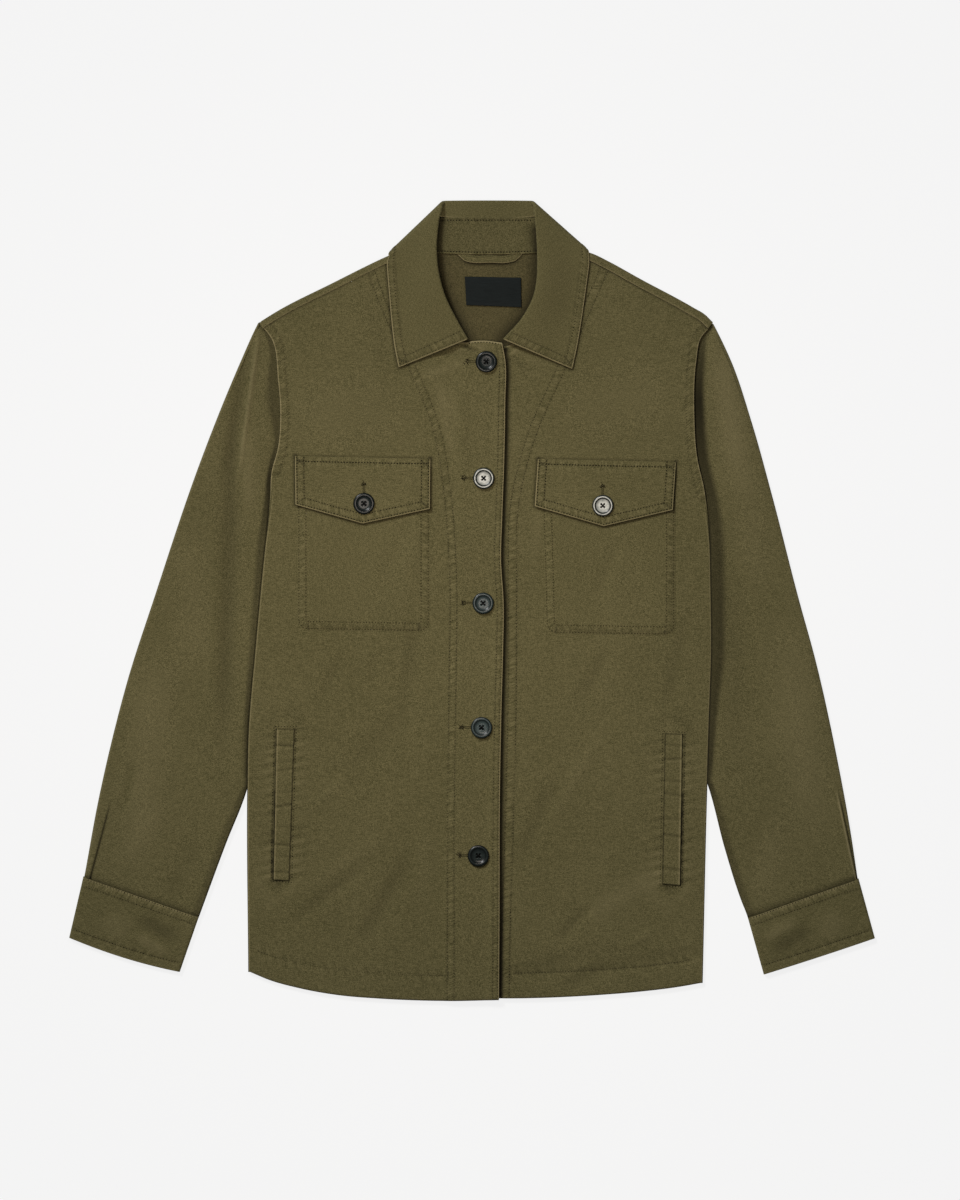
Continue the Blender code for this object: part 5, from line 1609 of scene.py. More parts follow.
def make_flap(side):
    """Patch whose lower edge comes to a point in the middle."""
    corners = FLAP_CORNERS[side]
    width = abs(corners["x"][1] - corners["x"][0])
    down, across = np.meshgrid(graded(FLAP_LENGTH, 1.5), graded(width, 1.6), indexing="ij")
    xy = four_corners(corners, down, across)
    low_middle_y = (corners["y"][2] + corners["y"][3]) / 2
    peak = 1 - np.abs(2 * across - 1)
    xy[..., 1] += down * peak * (FLAP_POINT_Y[side] - low_middle_y)
    height, look, distance = patch_look(xy, BANDS["flap"])
    depth = down * FLAP_LENGTH
    edge_height, edge_wear = edge_round(distance)
    top = band_look(depth - FLAP_TOP_STITCH, across * width, BANDS["flap_top"])
    top_height, top_wear_and_shade, top_pucker, drift = top
    look["wear_and_shade"] += edge_wear * mix(FLAP_TOP_WEAR, 1.0, ease(depth / FLAP_TOP_RUN)) + top_wear_and_shade
    by_top = (top_pucker > look["pucker"])[..., None]
    look["pucker"] = np.maximum(look["pucker"], top_pucker)
    look["seam"] = np.where(by_top, seam_place(drift, depth, 0.0), look["seam"])
    height = height + edge_height + top_height
    points = np.dstack((xy, flap_height(side, xy[..., 0], xy[..., 1]) + height))
    sheet(f"{side}_pocket_flap_cloth", f"pocket_flap_{side}", points, FLAP_WALL,
          look)
    return xy


def pocket_height(side, x, y, distance):
    """Height of a pocket's outer face, sewn down to the front along its edge."""
    return front_top(side, x, y) + SEAM + CLOTH - POCKET_SEWN_DOWN * bell(distance, POCKET_SEWN_WIDTH)


def make_pocket(side):
    """Patch whose lower corners are drawn in by an arc, row by row."""
    corners = POCKET_CORNERS[side]
    height = corners["y"][0] - corners["y"][3]
    width = corners["x"][1] - corners["x"][0]
    corner_rows = 1 - POCKET_CORNER_RADIUS * (1 - np.sin(POCKET_CORNER_TURN)) / height
    straight_rows = np.linspace(0, corner_rows[0], 76, endpoint=False)
    rows = np.concatenate((straight_rows, corner_rows))
    corner_inset = POCKET_CORNER_RADIUS * (1 - np.cos(POCKET_CORNER_TURN)) / width
    inset = np.concatenate((0 * straight_rows, corner_inset))
    across = inset[:, None] + (1 - 2 * inset[:, None]) * graded(width, 1.7)[None]
    xy = four_corners(corners, np.broadcast_to(rows[:, None], across.shape), across)
    x, y = xy[..., 0], xy[..., 1]
    relief, look, distance = patch_look(xy, BANDS["pocket"])
    look["wear_and_shade"] += contact_shade(x, y, [border(flap_grid[side])])
    points = np.dstack((x, y, pocket_height(side, x, y, distance) + relief))
    sheet(f"{side}_chest_pocket_cloth", f"chest_pocket_{side}", points, SEWN_WALL,
          look)
    return xy


def make_welt(side):
    """Upright band whose edges are folded, with cross creases placed one by one."""
    corners = WELT_CORNERS[side]
    first, second = points_of(corners)[:2]
    width = np.linalg.norm(second - first)
    columns = graded(width, 1.0, (0.4, 0.8, 1.3))
    down, across = np.meshgrid(graded(WELT_LENGTH, 1.3), columns, indexing="ij")
    xy = four_corners(corners, down, across)
    depth = down * WELT_LENGTH
    creases = np.zeros(depth.shape)
    for place, slope, strength in zip(*WELT_CREASES[side].values()):
        past = depth - place - slope * (across - 0.5)
        creases += strength * (bell(past, WELT_CREASE_WIDTH) - streak(past, *WELT_CREASE_ECHO))
    from_opening = across * width if side == "right" else (1 - across) * width
    from_ends = np.minimum(down, 1 - down) * WELT_LENGTH
    # Painted shadow in the pocket's opening, deeper in its lower half, painted shade round the strip's
    # other edges, and painted light and shade on the creases; the opening's folded edge is worn pale.
    gap_shadow_depth = mix(*WELT_GAP_SHADOW, ease((down - WELT_GAP_SHADOW_START) / WELT_GAP_SHADOW_RUN))
    gap_shadow = fading(from_opening, gap_shadow_depth, *WELT_OPENING_SHADOW)
    frame_shade = fading(np.minimum(width - from_opening, from_ends), *WELT_FRAME_SHADE)
    height = edge_round(from_opening)[0] - WELT_CREASE_DEPTH * creases
    wear_and_shade = streak(from_opening, *WELT_LIGHT) - gap_shadow - frame_shade - WELT_CREASE_DEPTH * creases
    points = np.dstack((xy, front_top(side, xy[..., 0], xy[..., 1]) + WELT_RISE + height))
    sheet(f"{side}_welt_cloth", f"welt_{side}", points, SEWN_WALL, {"wear_and_shade": wear_and_shade})
    return xy


flap_grid = {side: make_flap(side) for side in SIDES}
pocket_grid = {side: make_pocket(side) for side in SIDES}
welt_grid = {side: make_welt(side) for side in SIDES}

# %% [markdown]
# ## The fronts
# A front is a panel from the facing line to the rolled side, and a strip on to the front edge, which only
# starts below the collar. Both are ruled patches between their edge curves. A flat polygon filled by a
# triangulator would be quicker, but a grid gives even faces that take folds well.

# %% Make the fronts
STRIP_COLUMNS = graded(44.0, 1.25)
FRONT_COLUMNS = np.linspace(0, 1, 96)
NECK_ROWS = np.linspace(0, 1, 46)[:-1]
LOWER_ROWS = np.linspace(0, 1, 286)
IN_NECK = len(NECK_ROWS)
IN_STRIP = len(STRIP_COLUMNS) - 1
FAR = 100.0
FRONT_EDGE_WEAR = 1.3
HEM_WEAR = 0.4
SIDE_WEAR = 1.1
SIDE_LIGHT = (0.4, 0.6, 0.7)
SIDE_GROOVE_SHADE = 0.9
SIDE_GROOVE_SHADE_START = 1.2
SIDE_GROOVE_SHADE_RUN = 1.6
OPENING_OUT = 0.7
WELT_SHADES = ((0.3, 1.1), (0.5, 1.0), (0.9, 1.2))
SEWN_SHADE = (0.45, 1.2)
LAP_SHADE = (0.95, 2.6)
LAP_SHADE_PLACE = (1.6, 0.0)


def shoulder_seam(side):
    """Front shoulder seam, which follows the shoulder at the width that the back wraps forward."""
    out_x, out_y = SHOULDER_OUT[side]
    width = WRAP[side] + SHOULDER_SEAM
    return lambda x: BACK_TOP(x + out_x * width) - out_y * width


def lying_on(side):
    """Edges that lie on a front: the collar leaf's and the flap's."""
    leaf = leaf_grid[:LEAF_COUNT] if side == "right" else leaf_grid[-LEAF_COUNT:]
    front_end = leaf[0] if side == "right" else leaf[-1]
    return [leaf[:, -1, :2], front_end[:, :2], border(flap_grid[side])]


def sewn_on(side):
    """Seams where another piece's folded edge is sewn to a front: the flap's top and the shoulder."""
    x = np.linspace(BODY_EDGE[side](0.0)[0], NECK_SIDE[side](0.0)[0], 60)
    strip_end = np.array(SHOULDER_OUT[side]) * (WRAP[side] + WRAP_LAP)
    return [flap_grid[side][0], np.column_stack((x, BACK_TOP(x))) - strip_end]


def welt_shade(side, x, y):
    """Shade round a welt: a faint line all round, and its opening, which gapes in the lower half."""
    ring = welt_grid[side]
    opening = ring[:, 0 if side == "right" else -1] + (OPENING_OUT * SIDE_SIGN[side], 0.0)
    gaping = opening[len(opening) * 2 // 5 : -3]
    lines = zip((border(ring), opening, gaping), WELT_SHADES)
    return np.min([contact_shade(x, y, [line], *shade) for line, shade in lines], axis=0)


def front_light_and_shade(side, x, y):
    """Painted shade beside all that lies on a front, and the painted light and shade of its folds."""
    wear_and_shade = contact_shade(x, y, lying_on(side)) + contact_shade(x, y, sewn_on(side), *SEWN_SHADE)
    wear_and_shade += welt_shade(side, x, y) + fold_light_and_shade(side, x, y)
    if side == "left":
        lap_edge = sampled(FRONT_EDGE["right"], count=200) + LAP_SHADE_PLACE
        wear_and_shade += contact_shade(x, y, [lap_edge], *LAP_SHADE)
    return wear_and_shade


def front_flat(side, outer):
    """Flat grid of a front: the strip by its front edge, then the panel from the facing to the side."""
    edge = FRONT_EDGE[side](LOWER_ROWS)
    line_x = mix(*FACING_LINE_X[side], LOWER_ROWS)
    line_y = mix(NECK_SIDE[side](1.0)[1], HEM[side](line_x[-1]), LOWER_ROWS)
    line = np.column_stack((line_x, line_y))
    inner = np.concatenate((NECK_SIDE[side](NECK_ROWS), line))
    rows = np.concatenate((NECK_ROWS * NECK_ROWS_SHARE, mix(NECK_ROWS_SHARE, 1.0, LOWER_ROWS)))
    shoulder_bend = bend(shoulder_seam(side), inner[0, 0], outer[0, 0], FRONT_COLUMNS)
    side_hem_bend = bend(HEM[side], line[-1, 0], outer[-1, 0], FRONT_COLUMNS)
    main = patch(inner, outer, FRONT_COLUMNS, rows, shoulder_bend, side_hem_bend)
    neck_bend = bend(NECK_FRONT[side], edge[0, 0], line[0, 0], STRIP_COLUMNS)
    front_hem_bend = bend(HEM[side], edge[-1, 0], line[-1, 0], STRIP_COLUMNS)
    strip = patch(edge, line, STRIP_COLUMNS, LOWER_ROWS, neck_bend, front_hem_bend)[:, :-1]
    above_strip = np.repeat(inner[:IN_NECK, None], IN_STRIP, axis=1)
    return np.concatenate((np.concatenate((above_strip, strip)), main), axis=1)


def make_front(side):
    """The flat grid with its heights and worn edges, and then the rolled side."""
    start = (WRAP[side] + SHOULDER_SEAM) / BODY_EDGE_LENGTH
    share = np.concatenate((
        mix(start, NECK_OUTER_SHARE, NECK_ROWS),
        mix(NECK_OUTER_SHARE, 1.0, LOWER_ROWS),
    ))
    outer, out, curl = rolled_edge(side, share)
    flat = front_flat(side, outer)
    x, y = flat[..., 0], flat[..., 1]
    from_edge = np.linalg.norm(flat - flat[:, :1], axis=2)
    from_edge[:IN_NECK] = FAR
    from_neck = np.linalg.norm(flat - flat[IN_NECK], axis=2)
    from_neck[:, IN_STRIP:] = FAR
    edge_height, edge_wear = edge_round(np.minimum(from_edge, from_neck))
    low_height, low_wear = edge_round(np.linalg.norm(flat - flat[-1:], axis=2))
    relief, look = seam_relief(x, y, FRONT_SEAMS[side].values())
    look["wear_and_shade"] += FRONT_EDGE_WEAR * edge_wear + HEM_WEAR * low_wear + front_light_and_shade(side, x, y)
    panel = np.dstack((x, y, front_top(side, x, y) + relief + edge_height + low_height))

    end_height, end_wear = edge_round(ROLL_STEPS[-1] - ROLL_STEPS)
    reach, drop = edge_roll(ROLL_STEPS, curl[:, None])
    rise = end_height * (1.0 - curl[:, None]) - drop
    rolled = panel[:, -1:] + np.dstack((out[:, None] * reach[..., None], rise))
    points = np.concatenate((panel, rolled), axis=1)
    steps = len(ROLL_STEPS)
    for name, part in look.items():
        look[name] = np.concatenate((part, np.repeat(part[:, -1:], steps, axis=1)), axis=1)
    # The rolled side gets a pale line, then painted shade in the side seam's groove.
    groove = SIDE_GROOVE_SHADE * ease((ROLL_STEPS - SIDE_GROOVE_SHADE_START) / SIDE_GROOVE_SHADE_RUN)
    sewn_wear_and_shade = streak(ROLL_STEPS, *SIDE_LIGHT) - groove
    look["wear_and_shade"][:, -steps:] += mix(SIDE_WEAR * end_wear, sewn_wear_and_shade, curl[:, None])
    sheet(f"{side}_front_cloth", f"front_{side}", points, CLOTH, look,
          left_out=np.s_[:IN_NECK, :IN_STRIP], finishes=(KHAKI, KHAKI_WRONG_SIDE_SHADED))


for side in SIDES:
    make_front(side)

# %% [markdown]
# ## Inside the back neck
# A hanger loop is sewn under the stand with its ends tucked in, and a black satin label, left blank, is
# sewn to the back below it. Both lie on the back's inner face.

# %% Make the label and the hanger loop
LABEL_CORNERS = table("x y", (-7, 307.5), (46.5, 306.5), (47, 278.5), (-5.5, 280.5))
LABEL_WIDTH = 53.0
LABEL_HEIGHT = 28.0
LABEL_WALL = 1.0
LABEL_SWELL = 0.35
LABEL_EDGE = 0.8
LOOP_RISE = 1.0
LOOP_WALL = 0.6
LOOP_EDGE_WEAR = 0.9
LOOP_GROOVE_SHADE = (0.3, 2.2, 0.6)


def back_inside(x, y):
    """Height of the back's inner face."""
    return CLOTH + collar_lift(x, y) + soft_folds(x, y, BACK_PRESSES)


def make_label():
    """Four-cornered patch with turned-under ends and a slight swell between its stitches."""
    down, across = np.meshgrid(graded(LABEL_HEIGHT, 1.2), graded(LABEL_WIDTH, 1.2), indexing="ij")
    xy = four_corners(LABEL_CORNERS, down, across)
    swell = LABEL_SWELL * ease(4 * down * (1 - down)) * ease(4 * across * (1 - across))
    from_top = np.minimum(down, 1 - down) * LABEL_HEIGHT
    from_side = np.minimum(across, 1 - across) * LABEL_WIDTH
    edge = edge_round(np.minimum(from_top, from_side))[0]
    height = back_inside(xy[..., 0], xy[..., 1]) + SEAM + LABEL_WALL + swell + LABEL_EDGE * edge
    sheet("neck_label_satin", "neck_label", np.dstack((xy, height)), LABEL_WALL, {},
          finishes=(SATIN,))


def make_loop():
    """Narrow folded strip along the loop's path, bowed off the back in the middle."""
    along = np.linspace(0, 1, 70)
    middle = LOOP_PATH(along)
    across_way = normals(LOOP_PATH, along, (0.0, 1.0))
    sides = np.linspace(-0.5, 0.5, 13) * LOOP_WIDTH
    xy = middle[:, None] + across_way[:, None] * sides[None, :, None]
    bow = LOOP_RISE * np.sin(np.pi * along)[:, None]
    edge_height, edge_wear = edge_round(LOOP_WIDTH / 2 - np.abs(sides))
    height = back_inside(xy[..., 0], xy[..., 1]) + LOOP_WALL + bow + edge_height
    # The loop's lower edge is worn pale, and painted shade runs in a groove along each side.
    wear_and_shade = LOOP_EDGE_WEAR * edge_wear * (sides < 0) - streak(np.abs(sides), *LOOP_GROOVE_SHADE)
    points = np.dstack((xy, height))
    sheet("hanger_loop_cloth", "hanger_loop", points, LOOP_WALL, {"wear_and_shade": wear_and_shade})


make_label()
make_loop()

# %% [markdown]
# ## Topstitching
# A stitch is a short rod of thread that dives into the cloth at both ends. All the stitches of one panel
# are one mesh: a template of twelve points is placed along each row by whole arrays. A particle system or
# instances would do, but joined meshes export as they are.

# %% Sew the rows
STITCH_PITCH = 2.8
STITCH_LENGTH = 1.5
STITCH_SIZE = (1.1, 0.3, 0.3)
THREAD_LIFT = 0.05
PATCH_THREAD_LIFT = 0.1
RING_SIZES = np.array((0.5, 1.0, 0.5))
RING_FACES = np.array([(k, (k + 1) % 4, 4 + (k + 1) % 4, 4 + k) for k in range(4)])
STITCH_FACES = np.concatenate((RING_FACES, RING_FACES + 4, [(3, 2, 1, 0)], [(8, 9, 10, 11)]))


def rods(middles, along, up, length, width, height, sink):
    """Corner places of rods that taper and sink at both ends, one for each middle and direction."""
    up = np.broadcast_to(up, middles.shape)
    side = unit(np.cross(up, along))
    ends = np.array((-0.5, 0.0, 0.5))
    centre = middles[:, None] + along[:, None] * (ends * length)[None, :, None]
    centre = centre - up[:, None] * (sink * np.array((1.0, 0.0, 1.0)))[None, :, None]
    round_side = np.array((-1.0, 0.0, 1.0, 0.0)) * width / 2
    round_up = np.array((0.0, 1.0, 0.0, -1.0)) * height
    ring = side[:, None] * round_side[None, :, None] + up[:, None] * round_up[None, :, None]
    return centre[:, :, None] + ring[:, None] * RING_SIZES[None, :, None, None]


def row_of_stitches(line, up=UP):
    """Even stitches along a line of points in space; up is one direction or one for each point."""
    passed = passed_along(line)
    places = np.arange(STITCH_PITCH / 2, passed[-1], STITCH_PITCH)
    up = np.broadcast_to(up, line.shape)

    def at(values, where):
        return np.column_stack([np.interp(where, passed, values[:, axis]) for axis in range(3)])

    along = unit(at(line, places + STITCH_LENGTH / 2) - at(line, places - STITCH_LENGTH / 2))
    return rods(at(line, places), along, at(up, places), STITCH_LENGTH, *STITCH_SIZE)


def sew(name, rows, material=SHADED_SEWING_THREAD):
    """All rods of some rows as one mesh."""
    corners = np.concatenate(rows).reshape(-1, 12, 3)
    faces = (STITCH_FACES[None] + 12 * np.arange(len(corners))[:, None, None]).reshape(-1, 4)
    put_mesh(name, corners.reshape(-1, 3), faces.tolist(), material)
    print(f"{name}: {len(corners)} stitches")


WELT_STITCHES = both(
    "x y",
    right=((-187.8, -119.6), (-166.8, -119.8), (-171.2, -267.6), (-190.8, -266.2)),
    left=((181.0, -124.0), (202.4, -125.0), (199.6, -272.0), (178.4, -270.8)),
)
WELT_TURN = np.linspace(0, 4, 157)
WELT_RING = [np.interp(WELT_TURN, range(5), corners) for corners in ((0, 0, 1, 1, 0), (0, 1, 1, 0, 0))]


def on_height(line, height_at, lift=THREAD_LIFT):
    """A flat line laid on a height field, the thread's middle just over the cloth."""
    return np.column_stack((line, height_at(line[:, 0], line[:, 1]) + lift))


def front_rows(side):
    """Rows on one front: both sides of each double seam, and the single hem row."""
    rows = []
    for name, (line, band) in FRONT_SEAMS[side].items():
        if name == "welt":
            continue
        for distance in np.unique((-band["half"], band["half"])):
            row = on_height(moved_line(line, distance), partial(front_height, side))
            rows.append(row_of_stitches(row))
    return rows


NECK_STITCH_X = np.linspace(-4.0, 27.0, 40)
NECK_STITCH_DROP = 1.5
STRAY_LIMIT = 0.35


def neck_row():
    """Row under the right front's neck edge."""
    line = np.column_stack((NECK_STITCH_X, NECK_FRONT["right"](NECK_STITCH_X) - NECK_STITCH_DROP))
    return row_of_stitches(on_height(line, partial(front_height, "right")))


sew("right_front_stitches", front_rows("right") + [neck_row()])
sew("left_front_stitches", front_rows("left"))


def inset_rows(xy, height_at, top=None):
    """Double row inside a patch's sides and lower edge, and one row under its top edge if it has one."""
    edge = border(xy)
    run = np.diff(edge, axis=0)
    turn = np.sign(np.sum(np.cross(run[:-1], run[1:])))
    lines = []
    for distance in PATCH_STITCHES:
        line = moved_line(edge, turn * distance)
        strays = np.abs(np.abs(beside(edge, line[:, 0], line[:, 1])[1]) - distance)
        lines.append(line[strays < STRAY_LIMIT])
    if top is not None:
        lines.append(xy[0, 4:-4] - (0.0, top))
    return [row_of_stitches(on_height(line, height_at, PATCH_THREAD_LIFT)) for line in lines]


def sew_patches(side):
    """Stitches of one side's pocket, flap and welt, each on its own height field."""
    pocket_edge = border(pocket_grid[side])

    def on_pocket(x, y):
        return pocket_height(side, x, y, np.abs(beside(pocket_edge, x, y)[1]))

    sew(f"{side}_chest_pocket_stitches", inset_rows(pocket_grid[side], on_pocket), POCKET_THREAD)
    flap_rows = inset_rows(flap_grid[side], partial(flap_height, side), top=FLAP_TOP_STITCH)
    sew(f"{side}_pocket_flap_stitches", flap_rows)
    welt_ring = four_corners(WELT_STITCHES[side], *WELT_RING)
    welt_row = row_of_stitches(on_height(welt_ring, partial(front_height, side)))
    sew(f"{side}_welt_stitches", [welt_row])


for side in SIDES:
    sew_patches(side)

# %% Sew the collar and the cuffs
LEAF_THREAD_LIFT = 0.72
PAST_LEAF = 8
CUFF_WIDTH = 110.0
CUFF_STITCH_SHARES = np.linspace(0.035, 0.965, 60)
CUFF_THREAD_LIFT = 0.1
NECK_ROW_X = np.linspace(-30, 57, 60)
STAND_LEVEL = DOUBLE + LAYER
STAND_THREAD_LIFT = (0.15, 0.45)


def leaf_rows(first, last, step):
    """Rows along a leaf's edge and across its front end, read from the fall's own grid."""
    rows = []
    sections = leaf_grid[first:last:step]
    facing = leaf_facing[first:last:step]
    passed = np.abs(leaf_passed[first:last:step] - leaf_passed[first])
    for distance in LEAF_STITCHES:
        column = np.argmin(np.abs(FALL_WIDTH * (1 - FALL_SHARES) - distance))
        start = np.argmin(np.abs(passed - distance))
        edge = sections[start:, column] + LEAF_THREAD_LIFT * facing[start:]
        rows.append(row_of_stitches(edge, facing[start:]))
        across = sections[start, 2:column] + LEAF_THREAD_LIFT * facing[start]
        rows.append(row_of_stitches(across, facing[start]))
    return rows


def cuff_rows(side):
    """Three rows across a cuff's upper side."""
    rows = []
    for depth in CUFF_STITCHES:
        depths = np.full(len(CUFF_STITCH_SHARES), depth)
        xy = cuff_place(side, depths / CUFF_LENGTH, CUFF_STITCH_SHARES)
        height = cuff_relief(side, xy, depths, CUFF_STITCH_SHARES * CUFF_WIDTH)[0]
        line = np.column_stack((xy, 2 * CUFF_ROLL + height + CUFF_THREAD_LIFT))
        rows.append(row_of_stitches(line))
    return rows


def stand_rows():
    """A row under the fall and one over the neck seam, straight across the stand."""
    under_fall = np.full(len(NECK_ROW_X), STAND_TOP_Y - STAND_ROWS_IN[0])
    over_seam = stand_low_y(NECK_ROW_X) + STAND_ROWS_IN[1]
    rows = []
    for y, lift in zip((under_fall, over_seam), STAND_THREAD_LIFT):
        line = np.column_stack((NECK_ROW_X, y, np.full(len(y), STAND_LEVEL + lift)))
        rows.append(row_of_stitches(line))
    return rows


right_leaf = leaf_rows(0, LEAF_COUNT + PAST_LEAF, 1)
left_leaf = leaf_rows(len(leaf_grid) - 1, -LEAF_COUNT - PAST_LEAF - 1, -1)
sew("collar_stitches", right_leaf + left_leaf)
for side in SIDES:
    sew(f"{side}_cuff_stitches", cuff_rows(side))
sew("collar_stand_stitches", stand_rows())

# %% [markdown]
# ## Buttonholes
# Each buttonhole is a slit worked over with close thread, with a tangle of strands where it ends. The
# front ones run across and the flaps' run up and down, and the button covers half of each. Rods set square
# to the slit make the worked edge, as a sewing machine's zigzag does.

# %% Work the buttonholes
FRONT_BUTTONS = table("x y", (13.5, 226.5), (11.0, 116.0), (10.5, -2.5), (9.0, -120.5), (6.0, -242.0))
FLAP_BUTTONS = {"right": (-102.5, 92.0), "left": (124.0, 90.0)}
HOLE_START = 8.0
HOLE_END = 19.0
HOLE_PITCH = 0.8
HOLE_HALF = 0.75
KNOT_STRANDS = 14
KNOT_REACH = 2.2
STRAND_SIZE = (0.55, 0.25, 0.15)
WORKED_LENGTH = 1.2
KNOT_LENGTH = 3.2
FLAP_HOLE_SEED = 8
FRONT_HOLE_WAY = (-1, 0.02)
FLAP_HOLE_WAY = (0, 1)


def buttonhole(x, y, way, height_at, seed):
    """Rods square to the slit on both sides of it, and a tangle of strands where it ends."""
    way = np.array(way, float)
    square = np.array((-way[1], way[0]))
    draw = np.random.default_rng(seed)
    along = np.arange(HOLE_START, HOLE_END, HOLE_PITCH)
    sides = np.array((-1.0, 1.0))
    middle = np.array((x, y))
    worked = middle + along[:, None, None] * way + sides[None, :, None] * square * HOLE_HALF
    worked = worked.reshape(-1, 2)
    knot = middle + way * HOLE_END + draw.uniform(-KNOT_REACH, KNOT_REACH, (KNOT_STRANDS, 2))
    angles = draw.uniform(0, np.pi, KNOT_STRANDS)
    strands = np.column_stack((np.cos(angles), np.sin(angles)))
    squares = np.tile(square, (len(worked), 1))
    corners = []
    for spots, ways, length in ((worked, squares, WORKED_LENGTH), (knot, strands, KNOT_LENGTH)):
        places = on_height(spots, height_at, PATCH_THREAD_LIFT)
        flat = np.column_stack((ways, np.zeros(len(ways))))
        corners.append(rods(places, flat, UP, length, *STRAND_SIZE))
    return np.concatenate(corners)


front_holes = [
    buttonhole(x, y, FRONT_HOLE_WAY, partial(front_height, "right"), number)
    for number, (x, y) in enumerate(zip(*FRONT_BUTTONS.values()))
]
sew("front_buttonholes", front_holes, DARK_THREAD)
for side in SIDES:
    hole = buttonhole(*FLAP_BUTTONS[side], FLAP_HOLE_WAY, partial(flap_height, side), FLAP_HOLE_SEED)
    sew(f"{side}_flap_buttonhole", [hole], DARK_THREAD)

# %% [markdown]
# ## Buttons
# The buttons are turned from mottled horn-like resin: a dished face with four holes inside a round rim,
# sewn on with a cross of thread. The face is a grid of radius and angle, with the holes pressed into its
# heights. A Boolean could drill them, but a height field keeps the faces even.

# %% Button finishes and form
BUTTON_RADIUS = 10.2
BUTTON_PROFILE = table(
    "radius height",
    (0.0, 2.0), (2.5, 2.0), (5.2, 2.1), (6.4, 2.5), (7.3, 3.05), (8.2, 3.25), (9.2, 3.05),
    (9.9, 2.6), (BUTTON_RADIUS, 2.0), (9.9, 1.3), (9.2, 0.7), (7.5, 0.2), (4.0, 0.05), (0.0, 0.05),
)
HOLE_OUT = 1.45
HOLE_RADIUS = 0.95
HOLE_DEPTH = 1.5
HOLE_WALL = 0.35
HOLE_LIP = 0.25
BUTTON_ANGLES = 48
FACE_LENGTH = 5.4
CROSS_PLACES = np.array((
    (0.25, -0.25, 2.35), (-0.25, 0.25, 2.35), (0.25, 0.25, 2.6), (-0.25, -0.25, 2.6),
))
CROSS_WAYS = np.array(((1, 1, 0), (1, 1, 0), (-1, 1, 0), (-1, 1, 0))) * np.sqrt(0.5)
CROSS_LENGTH = 2.9 * HOLE_OUT
CROSS_SIZE = (1.0, 0.4, 0.75)


def button_finish(name, face, mottle, rim):
    """Polished mottled resin, cloudy, with painted shade: darker outwards, two rings in the rim's colour.

    The rings paint shade on the rim's inner wall and outer slope, and the holes are painted near black.
    """
    material, tree, shader = new_finish(name, {"Roughness": 0.28, "Specular IOR Level": 0.25})
    place = tree.nodes.new("ShaderNodeTexCoord").outputs["Object"]
    cloud = stretched_noise(tree, place, 5.0, 3.0)
    radius = attribute(tree, "radius").outputs["Fac"]
    hole_shade = attribute(tree, "hole").outputs["Fac"]
    tone = ramp(tree, cloud, (0.35, face), (0.7, mottle))
    off, half, on = ((shade, shade, shade, 1.0) for shade in (0.0, 0.45, 1.0))
    # Rim colour on the rim's inner wall and outer slope as painted shade; its crest keeps the face colour.
    rings = ((0.3, off), (0.6, half), (0.66, on), (0.76, on), (0.8, off), (0.85, off), (0.88, on))
    groove = ramp(tree, radius, *rings)
    rimmed = blend_to(tree, groove, tone, rim)
    holed = blend_to(tree, hole_shade, rimmed, linear(14, 14, 12))
    tree.links.new(holed, shader.inputs["Base Color"])
    return material


# The pale and grey dyes are painted reflection, lightening those buttons where a bright light shows in
# them.
BUTTON_DYES = {
    "dark": ((27, 34, 33), (36, 44, 42), (16, 20, 19)),
    "pale": ((212, 213, 204), (165, 169, 161), (38, 42, 39)),
    "grey": ((54, 66, 66), (72, 84, 82), (30, 37, 36)),
}
BUTTON_FINISHES = {
    tone: button_finish(f"{tone}_resin", *(linear(*dye) for dye in dyes))
    for tone, dyes in BUTTON_DYES.items()
}


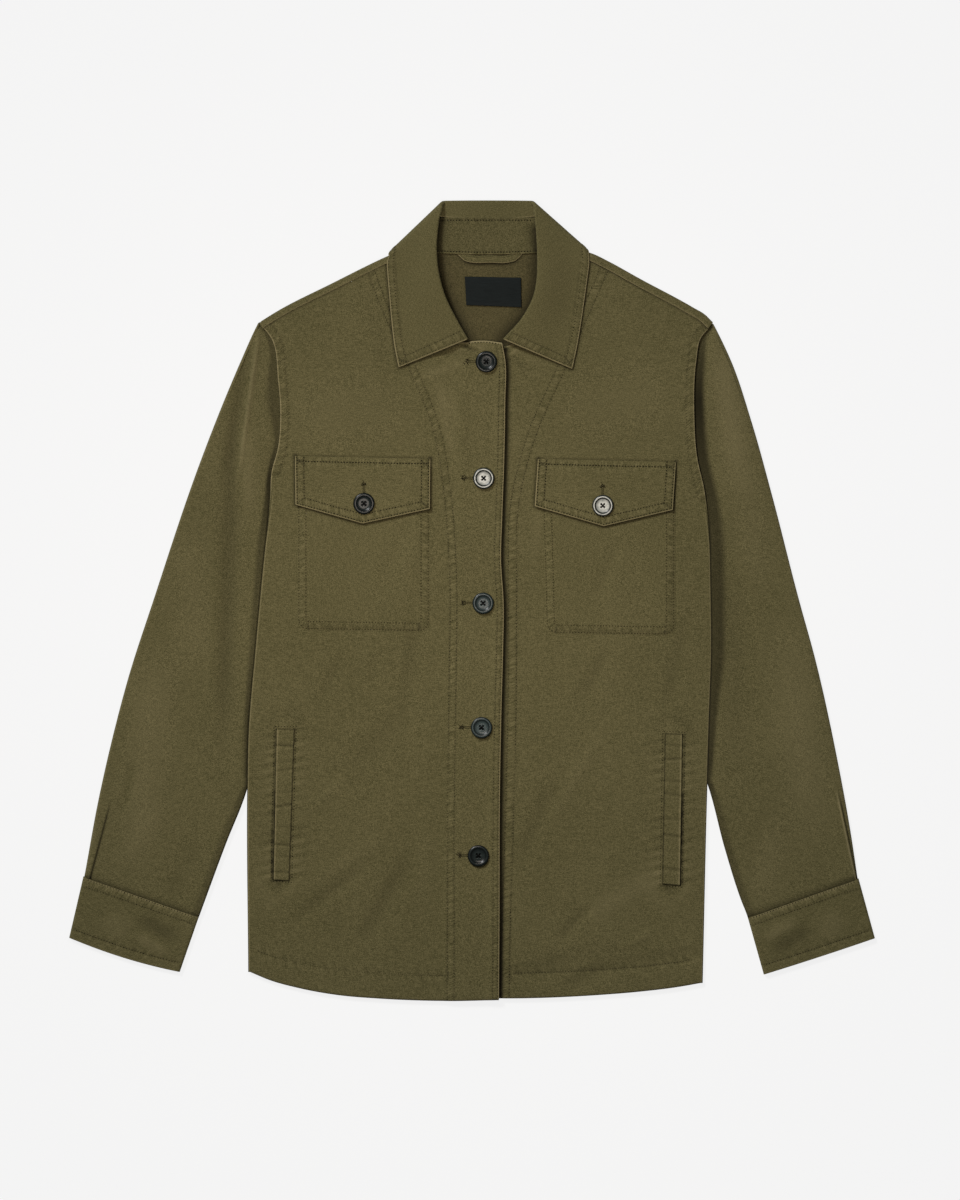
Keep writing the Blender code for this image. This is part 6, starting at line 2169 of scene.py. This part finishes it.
def button_form():
    """Turned grid of profile steps and angles; the holes are pressed in where they lie on the face."""
    passed = passed_along(np.column_stack((BUTTON_PROFILE["radius"], BUTTON_PROFILE["height"])))
    face = np.linspace(0.0, FACE_LENGTH, 26)[1:]
    places = np.concatenate((face, np.linspace(FACE_LENGTH, passed[-1], 40)[1:-1]))
    radius = np.interp(places, passed, BUTTON_PROFILE["radius"])
    height = smooth(passed, BUTTON_PROFILE["height"])(places)
    turn = np.linspace(0, 2 * np.pi, BUTTON_ANGLES, endpoint=False)
    x = radius[:, None] * np.cos(turn)
    y = radius[:, None] * np.sin(turn)
    out = np.hypot(np.abs(x) - HOLE_OUT, np.abs(y) - HOLE_OUT)
    hole = (1.0 - ease((out - HOLE_RADIUS + HOLE_LIP) / HOLE_WALL)) * (places < FACE_LENGTH)[:, None]
    return np.dstack((x, y, height[:, None] - HOLE_DEPTH * hole)), hole


BUTTON_GRID, BUTTON_HOLES = button_form()


def make_button(node, tone):
    """One button on its own seat, its two poles closed, and the cross of thread through its holes."""
    low, high = (np.array(corner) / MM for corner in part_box(node))
    seat = np.array(((low[0] + high[0]) / 2, (low[1] + high[1]) / 2, low[2]))
    rows, columns = BUTTON_GRID.shape[:2]
    ring = BUTTON_GRID.reshape(-1, 3)
    top = np.array((0.0, 0.0, BUTTON_PROFILE["height"][0]))
    bottom = np.array((0.0, 0.0, BUTTON_PROFILE["height"][-1]))
    places = np.concatenate((ring, [top, bottom])) + seat
    faces = grid_faces(rows, columns, ring=True).reshape(-1, 4)[:, ::-1].tolist()
    around = np.arange(columns)
    following = (around + 1) % columns
    last = (rows - 1) * columns
    faces += np.column_stack((around, following, np.full(columns, len(ring)))).tolist()
    faces += np.column_stack((last + following, last + around, np.full(columns, len(ring) + 1))).tolist()
    button = put_mesh(f"{node}_resin", places, faces, BUTTON_FINISHES[tone])
    radius = np.append(np.linalg.norm(ring[:, :2], axis=1), (0.0, 0.0)) / BUTTON_RADIUS
    put_attribute(button, "radius", "FLOAT", radius)
    put_attribute(button, "hole", "FLOAT", np.append(BUTTON_HOLES.ravel(), (0.0, 0.0)))
    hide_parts(node)
    cross = rods(seat + CROSS_PLACES, CROSS_WAYS, UP, CROSS_LENGTH, *CROSS_SIZE)
    sew(f"{node}_thread", [cross], CROSS_THREAD)


BUTTON_TONES = {
    "front_1": "dark", "front_2": "pale", "front_3": "grey", "front_4": "grey", "front_5": "dark",
    "flap_right": "dark", "flap_left": "pale",
}
for place, tone in BUTTON_TONES.items():
    make_button(f"button_{place}", tone)
print("buttons:", len(BUTTON_TONES))
